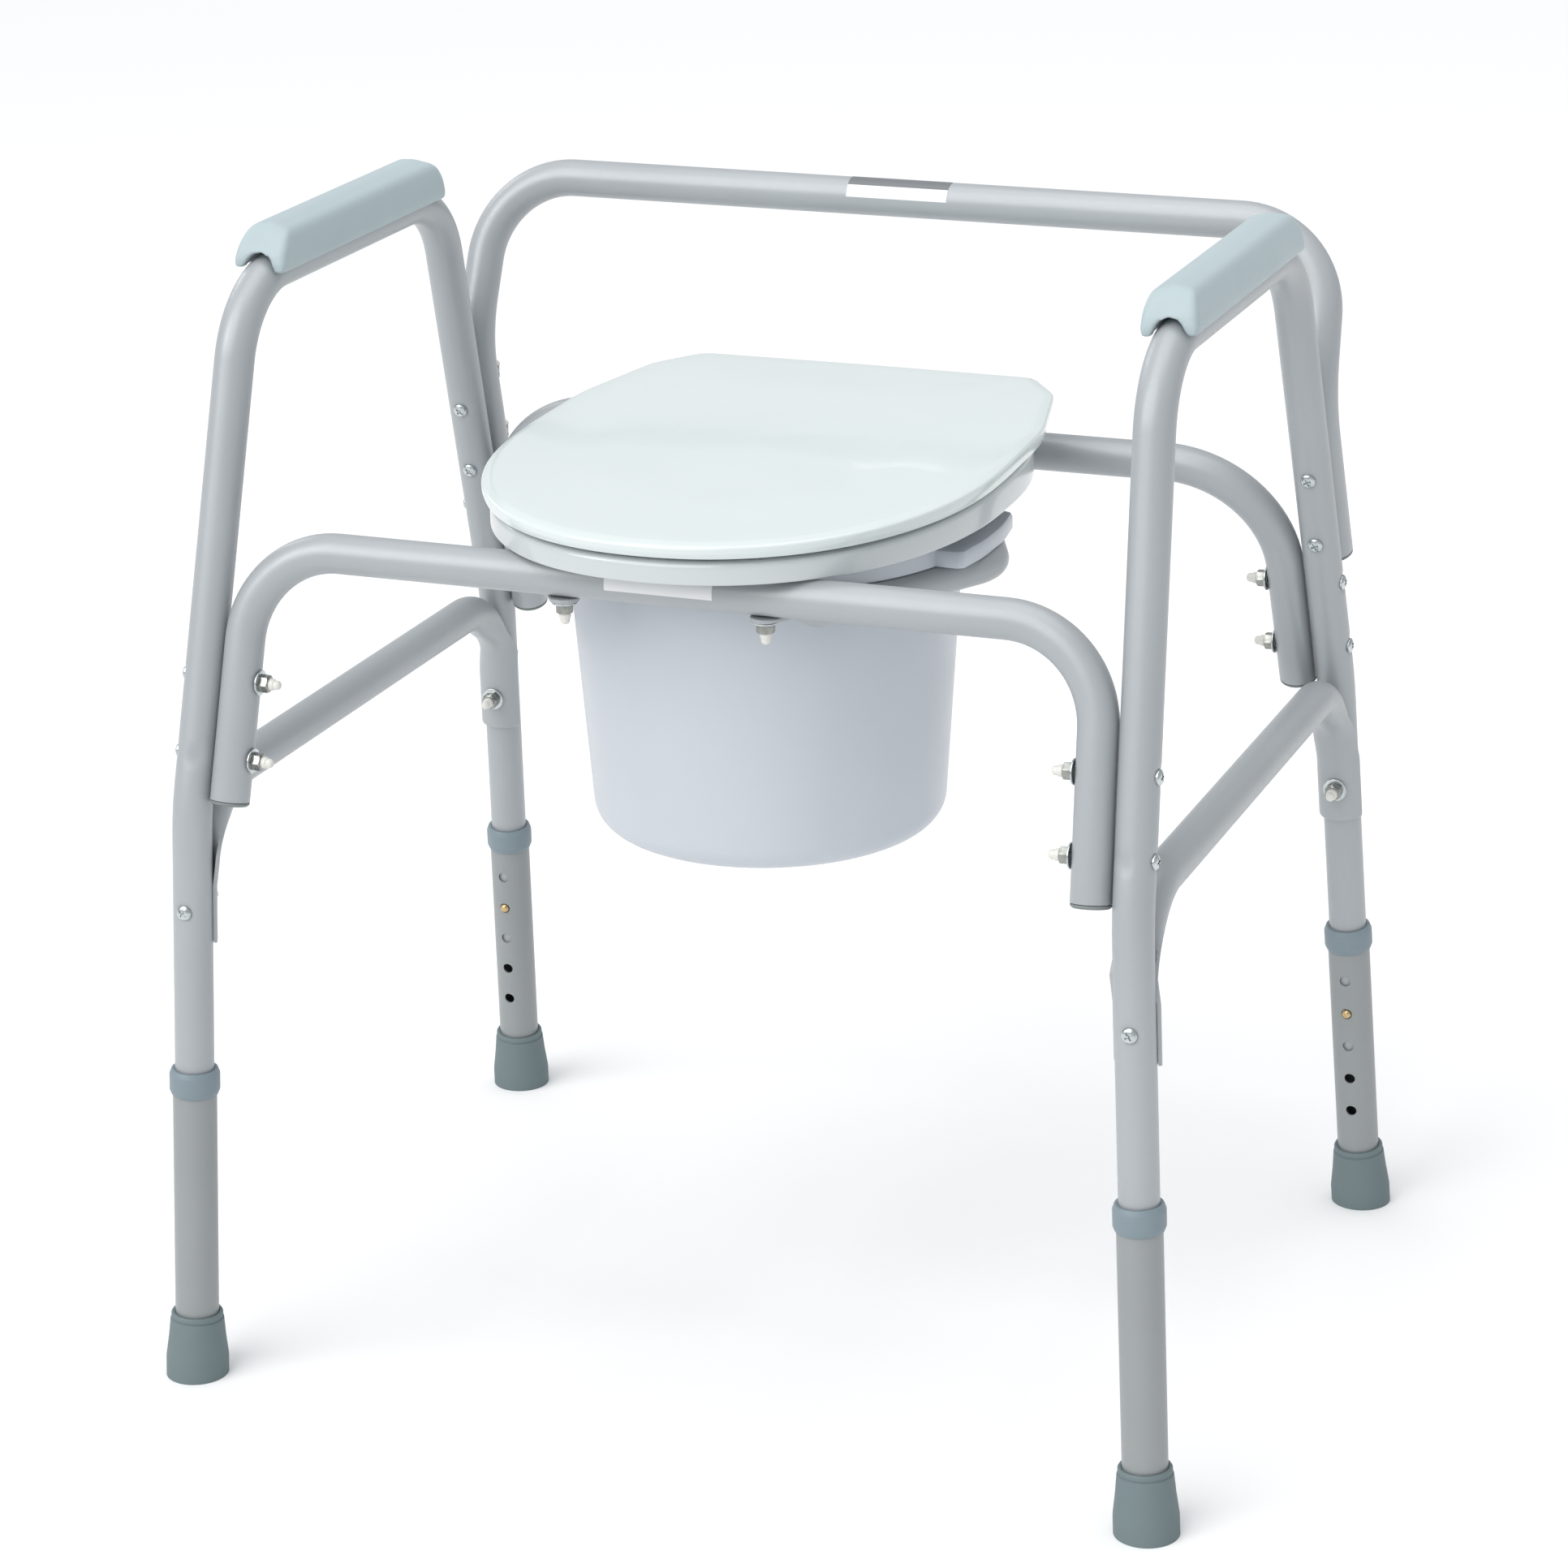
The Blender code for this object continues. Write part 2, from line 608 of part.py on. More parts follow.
# ---------------------------------------------------------------- adjustable legs
def leg_extension(end, word, side):
    label = f"{end}_{word}"

    def turned_on_leg(name, profile, finish, hollow=True, steps=16):
        made = add_object(name, turned_mesh(name, profile, steps, hollow), finish)
        made.matrix_world = place_on_leg(side, end, 0.0)
        return made

    along = 1 / -leg_down(side, end).z  # length up the leg for each metre of height
    top, foot = EXTENSION_TOP * along, EXTENSION_FOOT * along
    tube = turned_on_leg(
        f"leg_extension_{label}",
        [(EXTENSION_R, top), (EXTENSION_R, foot), (EXTENSION_BORE, foot), (EXTENSION_BORE, top)],
        EXTENSION_PAINT,
    )
    facing = leg_turn(side, end).col[0].xyz
    for k in range(HOLES):
        middle = leg_point(side, end, TOP_HOLE_Z) + leg_down(side, end) * (k * HOLE_PITCH)
        hole = cylinder_mesh(f"hole_{label}_{k}", HOLE_R, middle, middle + facing * 0.03, 8)
        combine(tube, hole, "DIFFERENCE")

    collar_top = COLLAR_TOP * along
    collar_foot = collar_top - COLLAR_HEIGHT
    lip_foot = top + CLEARANCE
    grip = EXTENSION_R + CLEARANCE
    turned_on_leg(
        f"leg_collar_{label}",
        [
            (0.0150, collar_top),
            (COLLAR_R, collar_top - 0.0035),
            (COLLAR_R, collar_foot + 0.0035),
            (0.0150, collar_foot),
            (grip, collar_foot),
            (grip, lip_foot),
            (TUBE_R + CLEARANCE, lip_foot),
            (TUBE_R + CLEARANCE, collar_top),
        ],
        BLUE_GREY_PLASTIC,
    )

    below = -0.004
    tip_top = TIP_HEIGHT * along
    tip = turned_on_leg(
        f"rubber_tip_{label}",
        [
            (0.0163, tip_top),
            (0.0170, tip_top - 0.002),
            (TIP_TOP_R, tip_top - 0.005),
            (TIP_FOOT_R - 0.0008, 0.012),
            (TIP_FOOT_R, below),
            (0, below),
            (0, foot - CLEARANCE),
            (grip, foot - CLEARANCE),
            (grip, tip_top),
        ],
        RUBBER,
    )
    floor = leg_point(side, end, 0)
    combine(tip, box_mesh(f"floor_{label}", floor + Vector((0, 0, -0.05)), (0.1, 0.1, 0.1)), "DIFFERENCE")

    pin = cylinder_mesh(f"snap_button_{label}", BUTTON_R, (0.0060, 0, 0), (EXTENSION_R + 0.0009, 0, 0), 8)
    button = add_object(f"snap_button_{label}", pin, BRASS)
    dome = cylinder_mesh(
        f"dome_{label}", BUTTON_R, (EXTENSION_R + 0.0007, 0, 0), (EXTENSION_R + 0.0023, 0, 0), 8, BUTTON_R * 0.45
    )
    spring = box_mesh(f"spring_{label}", Vector((0.0058, 0, 0.0095)), (0.0008, 0.0056, 0.030))
    for piece in (dome, spring):
        combine(button, piece, "UNION")
    bpy.context.view_layer.update()
    seat = place_on_leg(side, end, TOP_HOLE_Z)
    seat.translation += leg_down(side, end) * HOLE_PITCH
    button.matrix_world = seat
    for step in button.modifiers:
        step.object.matrix_world = seat


def box_mesh(name, centre, size):
    bm = bmesh.new()
    bmesh.ops.create_cube(bm, size=1.0, matrix=Matrix.Translation(centre) @ Matrix.Diagonal((*size, 1)))
    return mesh_from(bm, name)


# ---------------------------------------------------------------- seat, lid and pail
def superellipse(half_width, reach, power, share):
    """A point of one quarter, from the widest place (share 0) to the far end (share 1), as (x, y)."""
    angle = share * math.pi / 2
    return (
        half_width * max(0.0, math.cos(angle)) ** (2 / power),
        reach * math.sin(angle) ** (2 / power),
    )


def plan_outline(half_width, middle_y, front_reach, front_power, rear_reach, rear_power, quarter=9):
    """A seat's outline from above, from its right-hand widest place round by the rear."""
    rear = [superellipse(half_width, rear_reach, rear_power, k / quarter) for k in range(quarter)]
    front = [superellipse(half_width, front_reach, front_power, k / quarter) for k in range(quarter)]
    tail, nose = (0, rear_reach), (0, front_reach)
    right_rear = rear + [tail]
    left_rear = [(-x, y) for x, y in reversed(rear)]
    left_front = [(-x, -y) for x, y in front[1:]] + [(nose[0], -nose[1])]
    right_front = [(x, -y) for x, y in reversed(front[1:])]
    return [(x, middle_y + y) for x, y in right_rear + left_rear + left_front + right_front]


SEAT_OUTLINE = plan_outline(SEAT_HALF_WIDTH, -0.039, 0.203, FRONT_POWER, 0.184, 2.8)
SEAT_HOLE = plan_outline(0.104, -0.039, 0.135, 2.1, 0.118, 2.1)
LID_OUTLINE = plan_outline(LID_HALF_WIDTH, -0.045, 0.200, FRONT_POWER, 0.196, 5.5)
SEAT_FRONT = min(y for _, y in SEAT_OUTLINE)


def clip_mesh(name, x, arm_top, arm_foot, overlap_y):
    """A spring clip over the rear crossbar with its arm to a seat or lid, as one extruded outline."""
    axis_y, axis_z = bar_line("rear")

    def arc(radius, start, end, steps):
        angles = [math.radians(start + (end - start) * k / steps) for k in range(steps + 1)]
        return [(axis_y + radius * math.cos(a), axis_z + radius * math.sin(a)) for a in angles]

    outline = arc(CLIP_R, -30, 95, 5)
    outline += [(overlap_y, arm_top), (overlap_y, arm_foot)]
    outline += arc(CLIP_R, 160, 210, 2)
    outline += arc(CLIP_BORE / math.cos(math.radians(12)), 210, -30, 10)
    ends = [[Vector((x + side * CLIP_WIDTH / 2, y, z)) for y, z in outline] for side in (-1, 1)]
    return loft_mesh(name, ends)


def hinged_panel(name, mesh, finish, clips_x, arm_top, arm_foot, overlap_y):
    panel = add_object(name, mesh, finish)
    for side in (-1, 1):
        combine(panel, clip_mesh(f"{name}_clip", side * clips_x, arm_top, arm_foot, overlap_y), "UNION")
    return panel


def seat_ring():
    """A moulded ring, hollow underneath, between the seat's outline and its opening."""
    wall = 0.025
    section = (
        (0.0, SEAT_BOTTOM),
        (0.0, SEAT_TOP - 0.006),
        (0.06, SEAT_TOP - 0.0008),
        (0.18, SEAT_TOP),
        (0.80, SEAT_TOP - 0.0020),
        (0.96, SEAT_TOP - 0.0045),
        (1.0, SEAT_TOP - 0.009),
        (1.0, SEAT_BOTTOM + 0.001),
        (1 - wall * 2, SEAT_BOTTOM + 0.001),
        (1 - wall * 3, SEAT_TOP - 0.0065),
        (wall * 3.4, SEAT_TOP - 0.0040),
        (wall * 2, SEAT_BOTTOM),
    )
    rings = []
    for share, z in section:
        ring = []
        for (a, b), (c, d) in zip(SEAT_OUTLINE, SEAT_HOLE):
            y = b + (d - b) * share
            lift = SEAT_RISE * (y - SEAT_FRONT) if z > SEAT_BOTTOM + 0.002 else 0
            ring.append(Vector((a + (c - a) * share, y, z + lift)))
        rings.append(ring)
    mesh = loft_mesh("seat_ring", rings, closed_loop=True)
    return hinged_panel("seat_ring", mesh, WHITE_GLOSS, SEAT_CLIPS_X, 0.5900, 0.5760, 0.137)


def seat_lid():
    """A crowned lid with a short skirt, open underneath."""
    middle_y = -0.045
    front_y = min(y for _, y in LID_OUTLINE)

    def ring(scale, z):
        places = []
        for x, y in LID_OUTLINE:
            u, v = x * scale, middle_y + (y - middle_y) * scale
            lift = (LID_RISE if z > LID_BOTTOM + 0.003 else SEAT_RISE) * (v - front_y)
            places.append(Vector((u, v, z + lift)))
        return places

    rings = [
        ring(0.05, LID_CROWN - 0.0035),
        ring(0.955, LID_EDGE_TOP - 0.0028),
        ring(0.966, LID_BOTTOM),
        ring(0.994, LID_BOTTOM),
        ring(1.0, LID_BOTTOM + 0.002),
        ring(1.0, LID_EDGE_TOP - 0.0045),
        ring(0.990, LID_EDGE_TOP - 0.0010),
        ring(0.960, LID_EDGE_TOP + 0.0012),
        ring(0.60, LID_CROWN - 0.0006),
        ring(0.05, LID_CROWN),
    ]
    mesh = loft_mesh("seat_lid", rings)
    return hinged_panel("seat_lid", mesh, WHITE_GLOSS, LID_CLIPS_X, 0.6070, 0.6005, 0.142)


def pail():
    """A tapered pail with a rounded foot and a deep flange, and an ear at each side that rests on a rail."""
    profile = [
        (PAIL_FLANGE_R - 0.002, PAIL_TOP),
        (PAIL_FLANGE_R, PAIL_TOP - 0.002),
        (PAIL_FLANGE_R, PAIL_FLANGE_BOTTOM),
        (PAIL_FLANGE_R - 0.003, PAIL_FLANGE_BOTTOM),
        (PAIL_FLANGE_R - 0.003, PAIL_TOP - 0.004),
        (0.1285, PAIL_TOP - 0.004),
        (0.1135, PAIL_BOTTOM + 0.021),
        (0.1095, PAIL_BOTTOM + 0.008),
        (0.0985, PAIL_BOTTOM),
        (0, PAIL_BOTTOM),
        (0, PAIL_BOTTOM + 0.0028),
        (0.0965, PAIL_BOTTOM + 0.0028),
        (0.1072, PAIL_BOTTOM + 0.011),
        (0.1108, PAIL_BOTTOM + 0.022),
        (0.1258, PAIL_TOP - 0.003),
        (0.1275, PAIL_TOP),
    ]
    bucket = add_object("pail", turned_mesh("pail", profile, 32, hollow=True), PAIL_PLASTIC)
    bucket.location = (0, PAIL_Y, 0)
    half = PAIL_EAR_HALF_LENGTH
    root = PAIL_FLANGE_R - 0.010
    plan = [(root, -half), (PAIL_EAR_X - 0.007, -half + 0.0005), (PAIL_EAR_X - 0.003, -half + 0.005)]
    plan.append((PAIL_EAR_X, -half + 0.031))
    plan += [(x, -y) for x, y in reversed(plan)]
    for side in (-1, 1):
        heights = (PAIL_FLANGE_BOTTOM, PAIL_EAR_TOP)
        rings = [[Vector((side * x, PAIL_Y + y, z)) for x, y in plan] for z in heights]
        combine(bucket, loft_mesh("pail_ear", rings), "UNION")
    return bucket


# ---------------------------------------------------------------- assembly
nodes = {
    "front_crossbar": crossbar("front", FRONT_BAR_Z, FRONT_BAR_END_Z, CORNER_RADIUS),
    "rear_crossbar": crossbar("rear", REAR_BAR_Z, REAR_BAR_END_Z, REAR_BAR_BEND_RADIUS),
    "back_bar": back_bar(),
}
for side_word, side_sign in SIDES.items():
    nodes[f"{side_word}_side_frame"] = side_frame(side_word, side_sign)
    nodes[f"{side_word}_side_brace"] = side_brace(side_word, side_sign)
    nodes[f"{side_word}_pail_rail"] = pail_rail(side_word, side_sign)
    arm_pad(side_word, side_sign)
    for leg_end in ENDS:
        leg_extension(leg_end, side_word, side_sign)
seat_ring()
seat_lid()
pail()

shared_bolts = {}
for bolt_name, middle, out, reach, grip_length, drilled in bolt_specs():
    size = round(grip_length, 6)
    if size not in shared_bolts:
        shared_bolts[size] = bolt_mesh(bolt_name, grip_length)
        shared_bolts[size].materials.append(material("bolt_zinc", *ZINC))
    bolt_object = add_object(bolt_name, shared_bolts[size], ZINC)
    under_head = middle + out * reach
    bolt_object.matrix_world = Matrix.Translation(under_head) @ out.to_track_quat("Z", "Y").to_matrix().to_4x4()
    for node in drilled:
        drill_end = under_head - out * (grip_length + 0.004)
        drill = cylinder_mesh(f"{bolt_name}_drill", SHANK_R + 0.0006, under_head + out * 0.004, drill_end, 8)
        combine(nodes[node], drill, "DIFFERENCE")
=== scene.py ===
"""The looks of the commode chair: smooth tubes, mouldings, fasteners, finishes and studio.

The chair faces -Y, left is -X and right is +X. Metres throughout. Lengths repeat those of the CAD part.
"""

import math

import bmesh
import bpy
from mathutils import Matrix, Vector


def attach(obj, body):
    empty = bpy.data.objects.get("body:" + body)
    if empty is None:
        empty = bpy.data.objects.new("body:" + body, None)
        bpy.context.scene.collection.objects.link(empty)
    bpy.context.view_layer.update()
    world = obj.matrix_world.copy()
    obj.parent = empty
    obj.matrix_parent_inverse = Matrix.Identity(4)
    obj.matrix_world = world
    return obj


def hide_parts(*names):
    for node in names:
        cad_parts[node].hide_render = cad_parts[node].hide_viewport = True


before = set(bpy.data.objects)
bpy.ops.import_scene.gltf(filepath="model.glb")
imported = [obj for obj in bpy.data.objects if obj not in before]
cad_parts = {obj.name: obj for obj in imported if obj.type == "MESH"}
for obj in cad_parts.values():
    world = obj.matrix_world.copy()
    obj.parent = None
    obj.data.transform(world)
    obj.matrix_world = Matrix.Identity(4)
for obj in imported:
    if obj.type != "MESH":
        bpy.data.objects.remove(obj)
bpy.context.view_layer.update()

# ---------------------------------------------------------------- lengths shared with the CAD part
TUBE_R = 0.0127
GAP = 0.0003
SPACING = 0.0262
FOOT_HALF_WIDTH = 0.3283
SIDE_LEAN = 0.04
FRONT_FOOT, FRONT_KINK, FRONT_CORNER = (-0.2577, 0.0), (-0.2433, 0.392), (-0.1599, 0.7163)
REAR_FOOT, REAR_KINK, REAR_CORNER = (0.2577, 0.0), (0.2172, 0.401), (0.1198, 0.7163)
CORNER_RADIUS, KINK_RADIUS = 0.062, 0.15
INNER_LEG_END = 0.115
FRONT_BAR_Z, FRONT_BAR_END_Z = 0.5585, 0.401
REAR_BAR_Z, REAR_BAR_END_Z, REAR_BAR_BEND_RADIUS = 0.556, 0.400, 0.078
FRONT_BAR_BOLTS, REAR_BAR_BOLTS = (0.4767, 0.4285), (0.4755, 0.4270)
BACK_BAR_END_Z, BACK_BAR_BEND_Z = 0.483, 0.5955
BACK_BAR_TOP, BACK_BAR_BEND_RADIUS = (0.222, 0.710), 0.08
BACK_BAR_BOLTS = (0.5576, 0.5100)
BRACE_Z, BRACE_BEND_RADIUS = 0.4017, 0.050
SADDLE_THICKNESS, SADDLE_HALF_ANGLE = 0.0026, math.radians(75)
SADDLE_ENDS = {"front": 0.303, "rear": 0.3015}
BRACE_BOLTS = {"front": 0.3266, "rear": 0.3253}
RAIL_R, RAIL_BOLT_X, RAIL_CORNER = 0.0095, 0.0665, (0.157, -0.035)
RAIL_BEND_RADIUS, RAIL_Z, RAIL_TAB_THICKNESS = 0.037, 0.5387, 0.003
RAIL_TAB_WIDTH, RAIL_TAB_END = 0.020, 0.0095
EXTENSION_R, EXTENSION_BORE, EXTENSION_TOP, EXTENSION_FOOT = 0.0143, 0.0130, 0.2140, 0.0125
HOLE_PITCH, HOLE_R, TOP_HOLE_Z, HOLES = 0.0254, 0.0038, 0.179, 5
COLLAR_R, COLLAR_TOP, COLLAR_HEIGHT = 0.0164, 0.2166, 0.0177
TIP_HEIGHT, TIP_TOP_R, TIP_FOOT_R = 0.0446, 0.0176, 0.0206
SEAT_BOTTOM, SEAT_TOP, SEAT_HALF_WIDTH, SEAT_RISE = 0.5722, 0.5872, 0.161, 0.025
LID_BOTTOM, LID_EDGE_TOP, LID_CROWN, LID_RISE = 0.5890, 0.5975, 0.6015, 0.034
LID_HALF_WIDTH, SEAT_CLIPS_X, LID_CLIPS_X, CLIP_WIDTH = 0.1645, 0.040, 0.095, 0.018
FRONT_POWER = 2.15  # of the superellipse at the front of the seat and lid
PAIL_Y, PAIL_TOP, PAIL_FLANGE_BOTTOM, PAIL_BOTTOM = -0.034, 0.568, 0.5485, 0.353
PAIL_FLANGE_R, PAIL_EAR_X, PAIL_EAR_HALF_LENGTH, PAIL_EAR_TOP = 0.142, 0.156, 0.049, 0.5600
PAD_FRONT, PAD_REAR, PAD_ROLL, FRONT_EDGE_R = -0.138, 0.101, math.radians(5), 0.0055

SIDES = {"left": -1, "right": 1}
ENDS = ("front", "rear")


# ---------------------------------------------------------------- finishes
class Finish:
    """A material built from one Principled shader and the nodes that feed it."""

    def __init__(self, name, colour, roughness, **sockets):
        self.material = bpy.data.materials.new(name)
        self.material.use_nodes = True
        self.nodes = self.material.node_tree.nodes
        self.links = self.material.node_tree.links
        self.shader = self.nodes["Principled BSDF"]
        self.colour = colour
        self.set("Base Color", (*colour, 1))
        self.set("Roughness", roughness)
        for socket, value in sockets.items():
            self.set(socket.replace("_", " "), value)
        self.place = self.nodes.new("ShaderNodeTexCoord").outputs["Object"]

    def set(self, socket, value):
        self.shader.inputs[socket].default_value = value

    def noise(self, scale, detail=3.0, stretch=None):
        where = self.place
        if stretch:
            mapping = self.nodes.new("ShaderNodeMapping")
            mapping.inputs["Scale"].default_value = stretch
            self.links.new(where, mapping.inputs["Vector"])
            where = mapping.outputs["Vector"]
        texture = self.nodes.new("ShaderNodeTexNoise")
        texture.inputs["Scale"].default_value = scale
        texture.inputs["Detail"].default_value = detail
        self.links.new(where, texture.inputs["Vector"])
        return texture.outputs["Fac"]

    def ranged(self, source, low, high, start=0.3, stop=0.7):
        spread = self.nodes.new("ShaderNodeMapRange")
        for socket, value in zip(("From Min", "From Max", "To Min", "To Max"), (start, stop, low, high)):
            spread.inputs[socket].default_value = value
        self.links.new(source, spread.inputs["Value"])
        return spread.outputs["Result"]

    def vary_roughness(self, source, low, high):
        self.links.new(self.ranged(source, low, high), self.shader.inputs["Roughness"])

    def vary_colour(self, source, other, start=0.35, stop=0.65):
        """Blends towards another colour where the source is high."""
        mix = self.nodes.new("ShaderNodeMix")
        mix.data_type = "RGBA"
        mix.inputs["A"].default_value = (*self.colour, 1)
        mix.inputs["B"].default_value = (*other, 1)
        self.links.new(self.ranged(source, 0, 1, start, stop), mix.inputs["Factor"])
        self.links.new(mix.outputs["Result"], self.shader.inputs["Base Color"])

    def bump(self, *layers):
        """Each layer is (height source, height in metres)."""
        normal = None
        for source, height in layers:
            node = self.nodes.new("ShaderNodeBump")
            node.inputs["Strength"].default_value = 1.0
            node.inputs["Distance"].default_value = height
            self.links.new(source, node.inputs["Height"])
            if normal:
                self.links.new(normal, node.inputs["Normal"])
            normal = node.outputs["Normal"]
        self.links.new(normal, self.shader.inputs["Normal"])


def tinted(colour, factor):
    return tuple(min(1.0, c * factor) for c in colour)


def powder_coat(name, colour, roughness):
    """Silver-grey powder coat: fine orange peel, faint mottling, and a metallic fleck."""
    paint = Finish(name, colour, roughness, Metallic=0.15, Coat_Weight=0.15, Coat_Roughness=0.25)
    paint.vary_colour(paint.noise(9.0, 4.0), tinted(colour, 1.05))
    paint.vary_roughness(paint.noise(420.0, 2.0), roughness - 0.04, roughness + 0.05)
    paint.bump((paint.noise(520.0, 2.0), 0.000035), (paint.noise(2600.0, 1.0), 0.000010))
    return paint.material


def moulded(name, colour, roughness, grain=0.00002, grain_scale=900.0, **sockets):
    """Injection-moulded plastic: a faint texture and slight unevenness in colour and gloss."""
    plastic = Finish(name, colour, roughness, **sockets)
    plastic.vary_colour(plastic.noise(6.0, 3.0), tinted(colour, 0.965))
    plastic.vary_roughness(plastic.noise(30.0, 4.0), roughness * 0.88, roughness * 1.15)
    plastic.bump((plastic.noise(grain_scale, 3.0), grain), (plastic.noise(14.0, 1.0), grain * 4))
    return plastic.material


def plated(name, colour, roughness):
    """Bright plating with fine turning marks and duller patches."""
    metal = Finish(name, colour, roughness, Metallic=1.0)
    metal.vary_colour(metal.noise(260.0, 3.0), tinted(colour, 0.8))
    metal.vary_roughness(metal.noise(500.0, 3.0), roughness * 0.7, roughness * 1.5)
    metal.bump((metal.noise(1500.0, 2.0, (1, 1, 6)), 0.000012))
    return metal.material


FRAME_PAINT = powder_coat("frame_powder_coat", (0.365, 0.388, 0.405), 0.41)
EXTENSION_PAINT = powder_coat("extension_powder_coat", (0.278, 0.296, 0.30), 0.43)
COLLAR_PLASTIC = moulded("collar_plastic", (0.198, 0.252, 0.283), 0.45)
TIP_RUBBER = moulded("tip_rubber", (0.143, 0.19, 0.20), 0.62, grain=0.00005)
PAD_COLOUR = (0.40, 0.485, 0.508)
PAD_FOAM = moulded("arm_pad_foam", PAD_COLOUR, 0.50, grain=0.00006, grain_scale=700.0, Sheen_Weight=0.1)
# The seat and lid are one white plastic. The lid's copy is lighter as painted top light, and the seat's copy
# is darker as painted shade on its front wall under the lid's rim.
SEAT_WHITE_PAINTED_SHADE = moulded("seat_gloss_white_painted_shade", (0.565, 0.605, 0.615), 0.16, grain=0.000006, Coat_Weight=0.4)
LID_WHITE_PAINTED_LIGHT = moulded("lid_gloss_white_painted_light", (0.675, 0.74, 0.73), 0.16, grain=0.000006, Coat_Weight=0.4)
PAIL_PLASTIC = moulded("pail_plastic", (0.535, 0.572, 0.618), 0.32, grain=0.000006)
ZINC = plated("zinc_plate", (0.60, 0.64, 0.65), 0.20)
# The nuts carry the bolts' zinc plating, painted darker as painted shade and painted dark reflections under
# and between the tubes.
NUT_ZINC_PAINTED_SHADE = plated("nut_zinc_plate_painted_shade", (0.36, 0.37, 0.345), 0.24)
BRASS = plated("button_brass", (0.66, 0.48, 0.26), 0.28)
PLUG_PLASTIC = moulded("plug_plastic", (0.20, 0.225, 0.22), 0.5)
CAP_PLASTIC = moulded("thread_cap_plastic", (0.72, 0.71, 0.67), 0.35)
LABEL_WHITE = moulded("label_white", (0.80, 0.81, 0.82), 0.35, grain=0.000004)
LABEL_GREY = moulded("label_grey_band", (0.16, 0.17, 0.18), 0.35, grain=0.000004)


# ---------------------------------------------------------------- mesh helpers
def mesh_from(bm, name="mesh"):
    bmesh.ops.recalc_face_normals(bm, faces=bm.faces)
    mesh = bpy.data.meshes.new(name)
    bm.to_mesh(mesh)
    bm.free()
    return mesh


def piece(name, mesh, finishes, body, replaces=(), sharp=32, matrix=None):
    """Adds a finished piece that moves with a body and may stand for CAD nodes."""
    made = bpy.data.objects.new(name, mesh)
    bpy.context.scene.collection.objects.link(made)
    finishes = finishes if isinstance(finishes, (list, tuple)) else [finishes]
    if not mesh.materials:
        for finish in finishes:
            mesh.materials.append(finish)
        mesh.shade_smooth()
        mesh.set_sharp_from_angle(angle=math.radians(sharp))
    if matrix:
        made.matrix_world = matrix
    if replaces:
        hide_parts(*replaces)
    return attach(made, body)


def baked(mesh, *steps):
    """A mesh with modifiers applied. Each step is (type, settings)."""
    made = bpy.data.objects.new("baking", mesh)
    bpy.context.scene.collection.objects.link(made)
    tools = []
    for kind, settings in steps:
        modifier = made.modifiers.new(kind, kind)
        for key, value in settings.items():
            if key == "object":
                value = bpy.data.objects.new("tool", value)
                bpy.context.scene.collection.objects.link(value)
                tools.append(value)
            setattr(modifier, key, value)
    graph = bpy.context.evaluated_depsgraph_get()
    result = bpy.data.meshes.new_from_object(made.evaluated_get(graph))
    for used in [made] + tools:
        bpy.data.objects.remove(used, do_unlink=True)
    return result


def cut(mesh, *tools, join=False):
    operation = "UNION" if join else "DIFFERENCE"
    return baked(mesh, *(("BOOLEAN", {"operation": operation, "object": tool}) for tool in tools))


def skin(rings, closed_loop=False, caps=True, materials=None):
    """Skins rings of equal length. With caps, its two ends are filled."""
    bm = bmesh.new()
    rows = [[bm.verts.new(p) for p in ring] for ring in rings]
    pairs = list(zip(rows, rows[1:]))
    if closed_loop:
        pairs.append((rows[-1], rows[0]))
    elif caps:
        bm.faces.new(rows[0])
        bm.faces.new(rows[-1])
    for low, high in pairs:
        for k in range(len(low)):
            after = (k + 1) % len(low)
            bm.faces.new((low[k], low[after], high[after], high[k]))
    return mesh_from(bm)


def bar(radius, start, end, sides=32, end_radius=None):
    """A straight round bar or cone between two points."""
    start, end = Vector(start), Vector(end)
    along = end - start
    turn = along.to_track_quat("Z", "Y").to_matrix().to_4x4()
    bm = bmesh.new()
    bmesh.ops.create_cone(
        bm,
        cap_ends=True,
        segments=sides,
        radius1=radius,
        radius2=radius if end_radius is None else end_radius,
        depth=along.length,
        matrix=Matrix.Translation((start + end) / 2) @ turn,
    )
    return mesh_from(bm)


def box(centre, size):
    bm = bmesh.new()
    bmesh.ops.create_cube(bm, size=1.0, matrix=Matrix.Translation(centre) @ Matrix.Diagonal((*size, 1)))
    return mesh_from(bm)


def fillet(corners, radius, step_deg=4.0):
    """The corners as points joined by straight runs, each inner corner rounded to its radius."""
    corners = [Vector(c) for c in corners]
    radii = radius if isinstance(radius, (list, tuple)) else [radius] * (len(corners) - 2)
    path = [corners[0]]
    for before, corner, after, r in zip(corners, corners[1:], corners[2:], radii):
        if r <= 0:
            path.append(corner)
            continue
        back = (before - corner).normalized()
        on = (after - corner).normalized()
        turn = math.pi - back.angle(on)
        reach = r * math.tan(turn / 2)
        centre = corner + (back + on).normalized() * math.hypot(r, reach)
        first = corner + back * reach - centre
        last = corner + on * reach - centre
        steps = max(1, round(math.degrees(turn) / step_deg))
        for k in range(steps + 1):
            share = k / steps
            mixed = first * math.sin((1 - share) * turn) + last * math.sin(share * turn)
            path.append(centre + mixed / math.sin(turn))
    path.append(corners[-1])
    return path


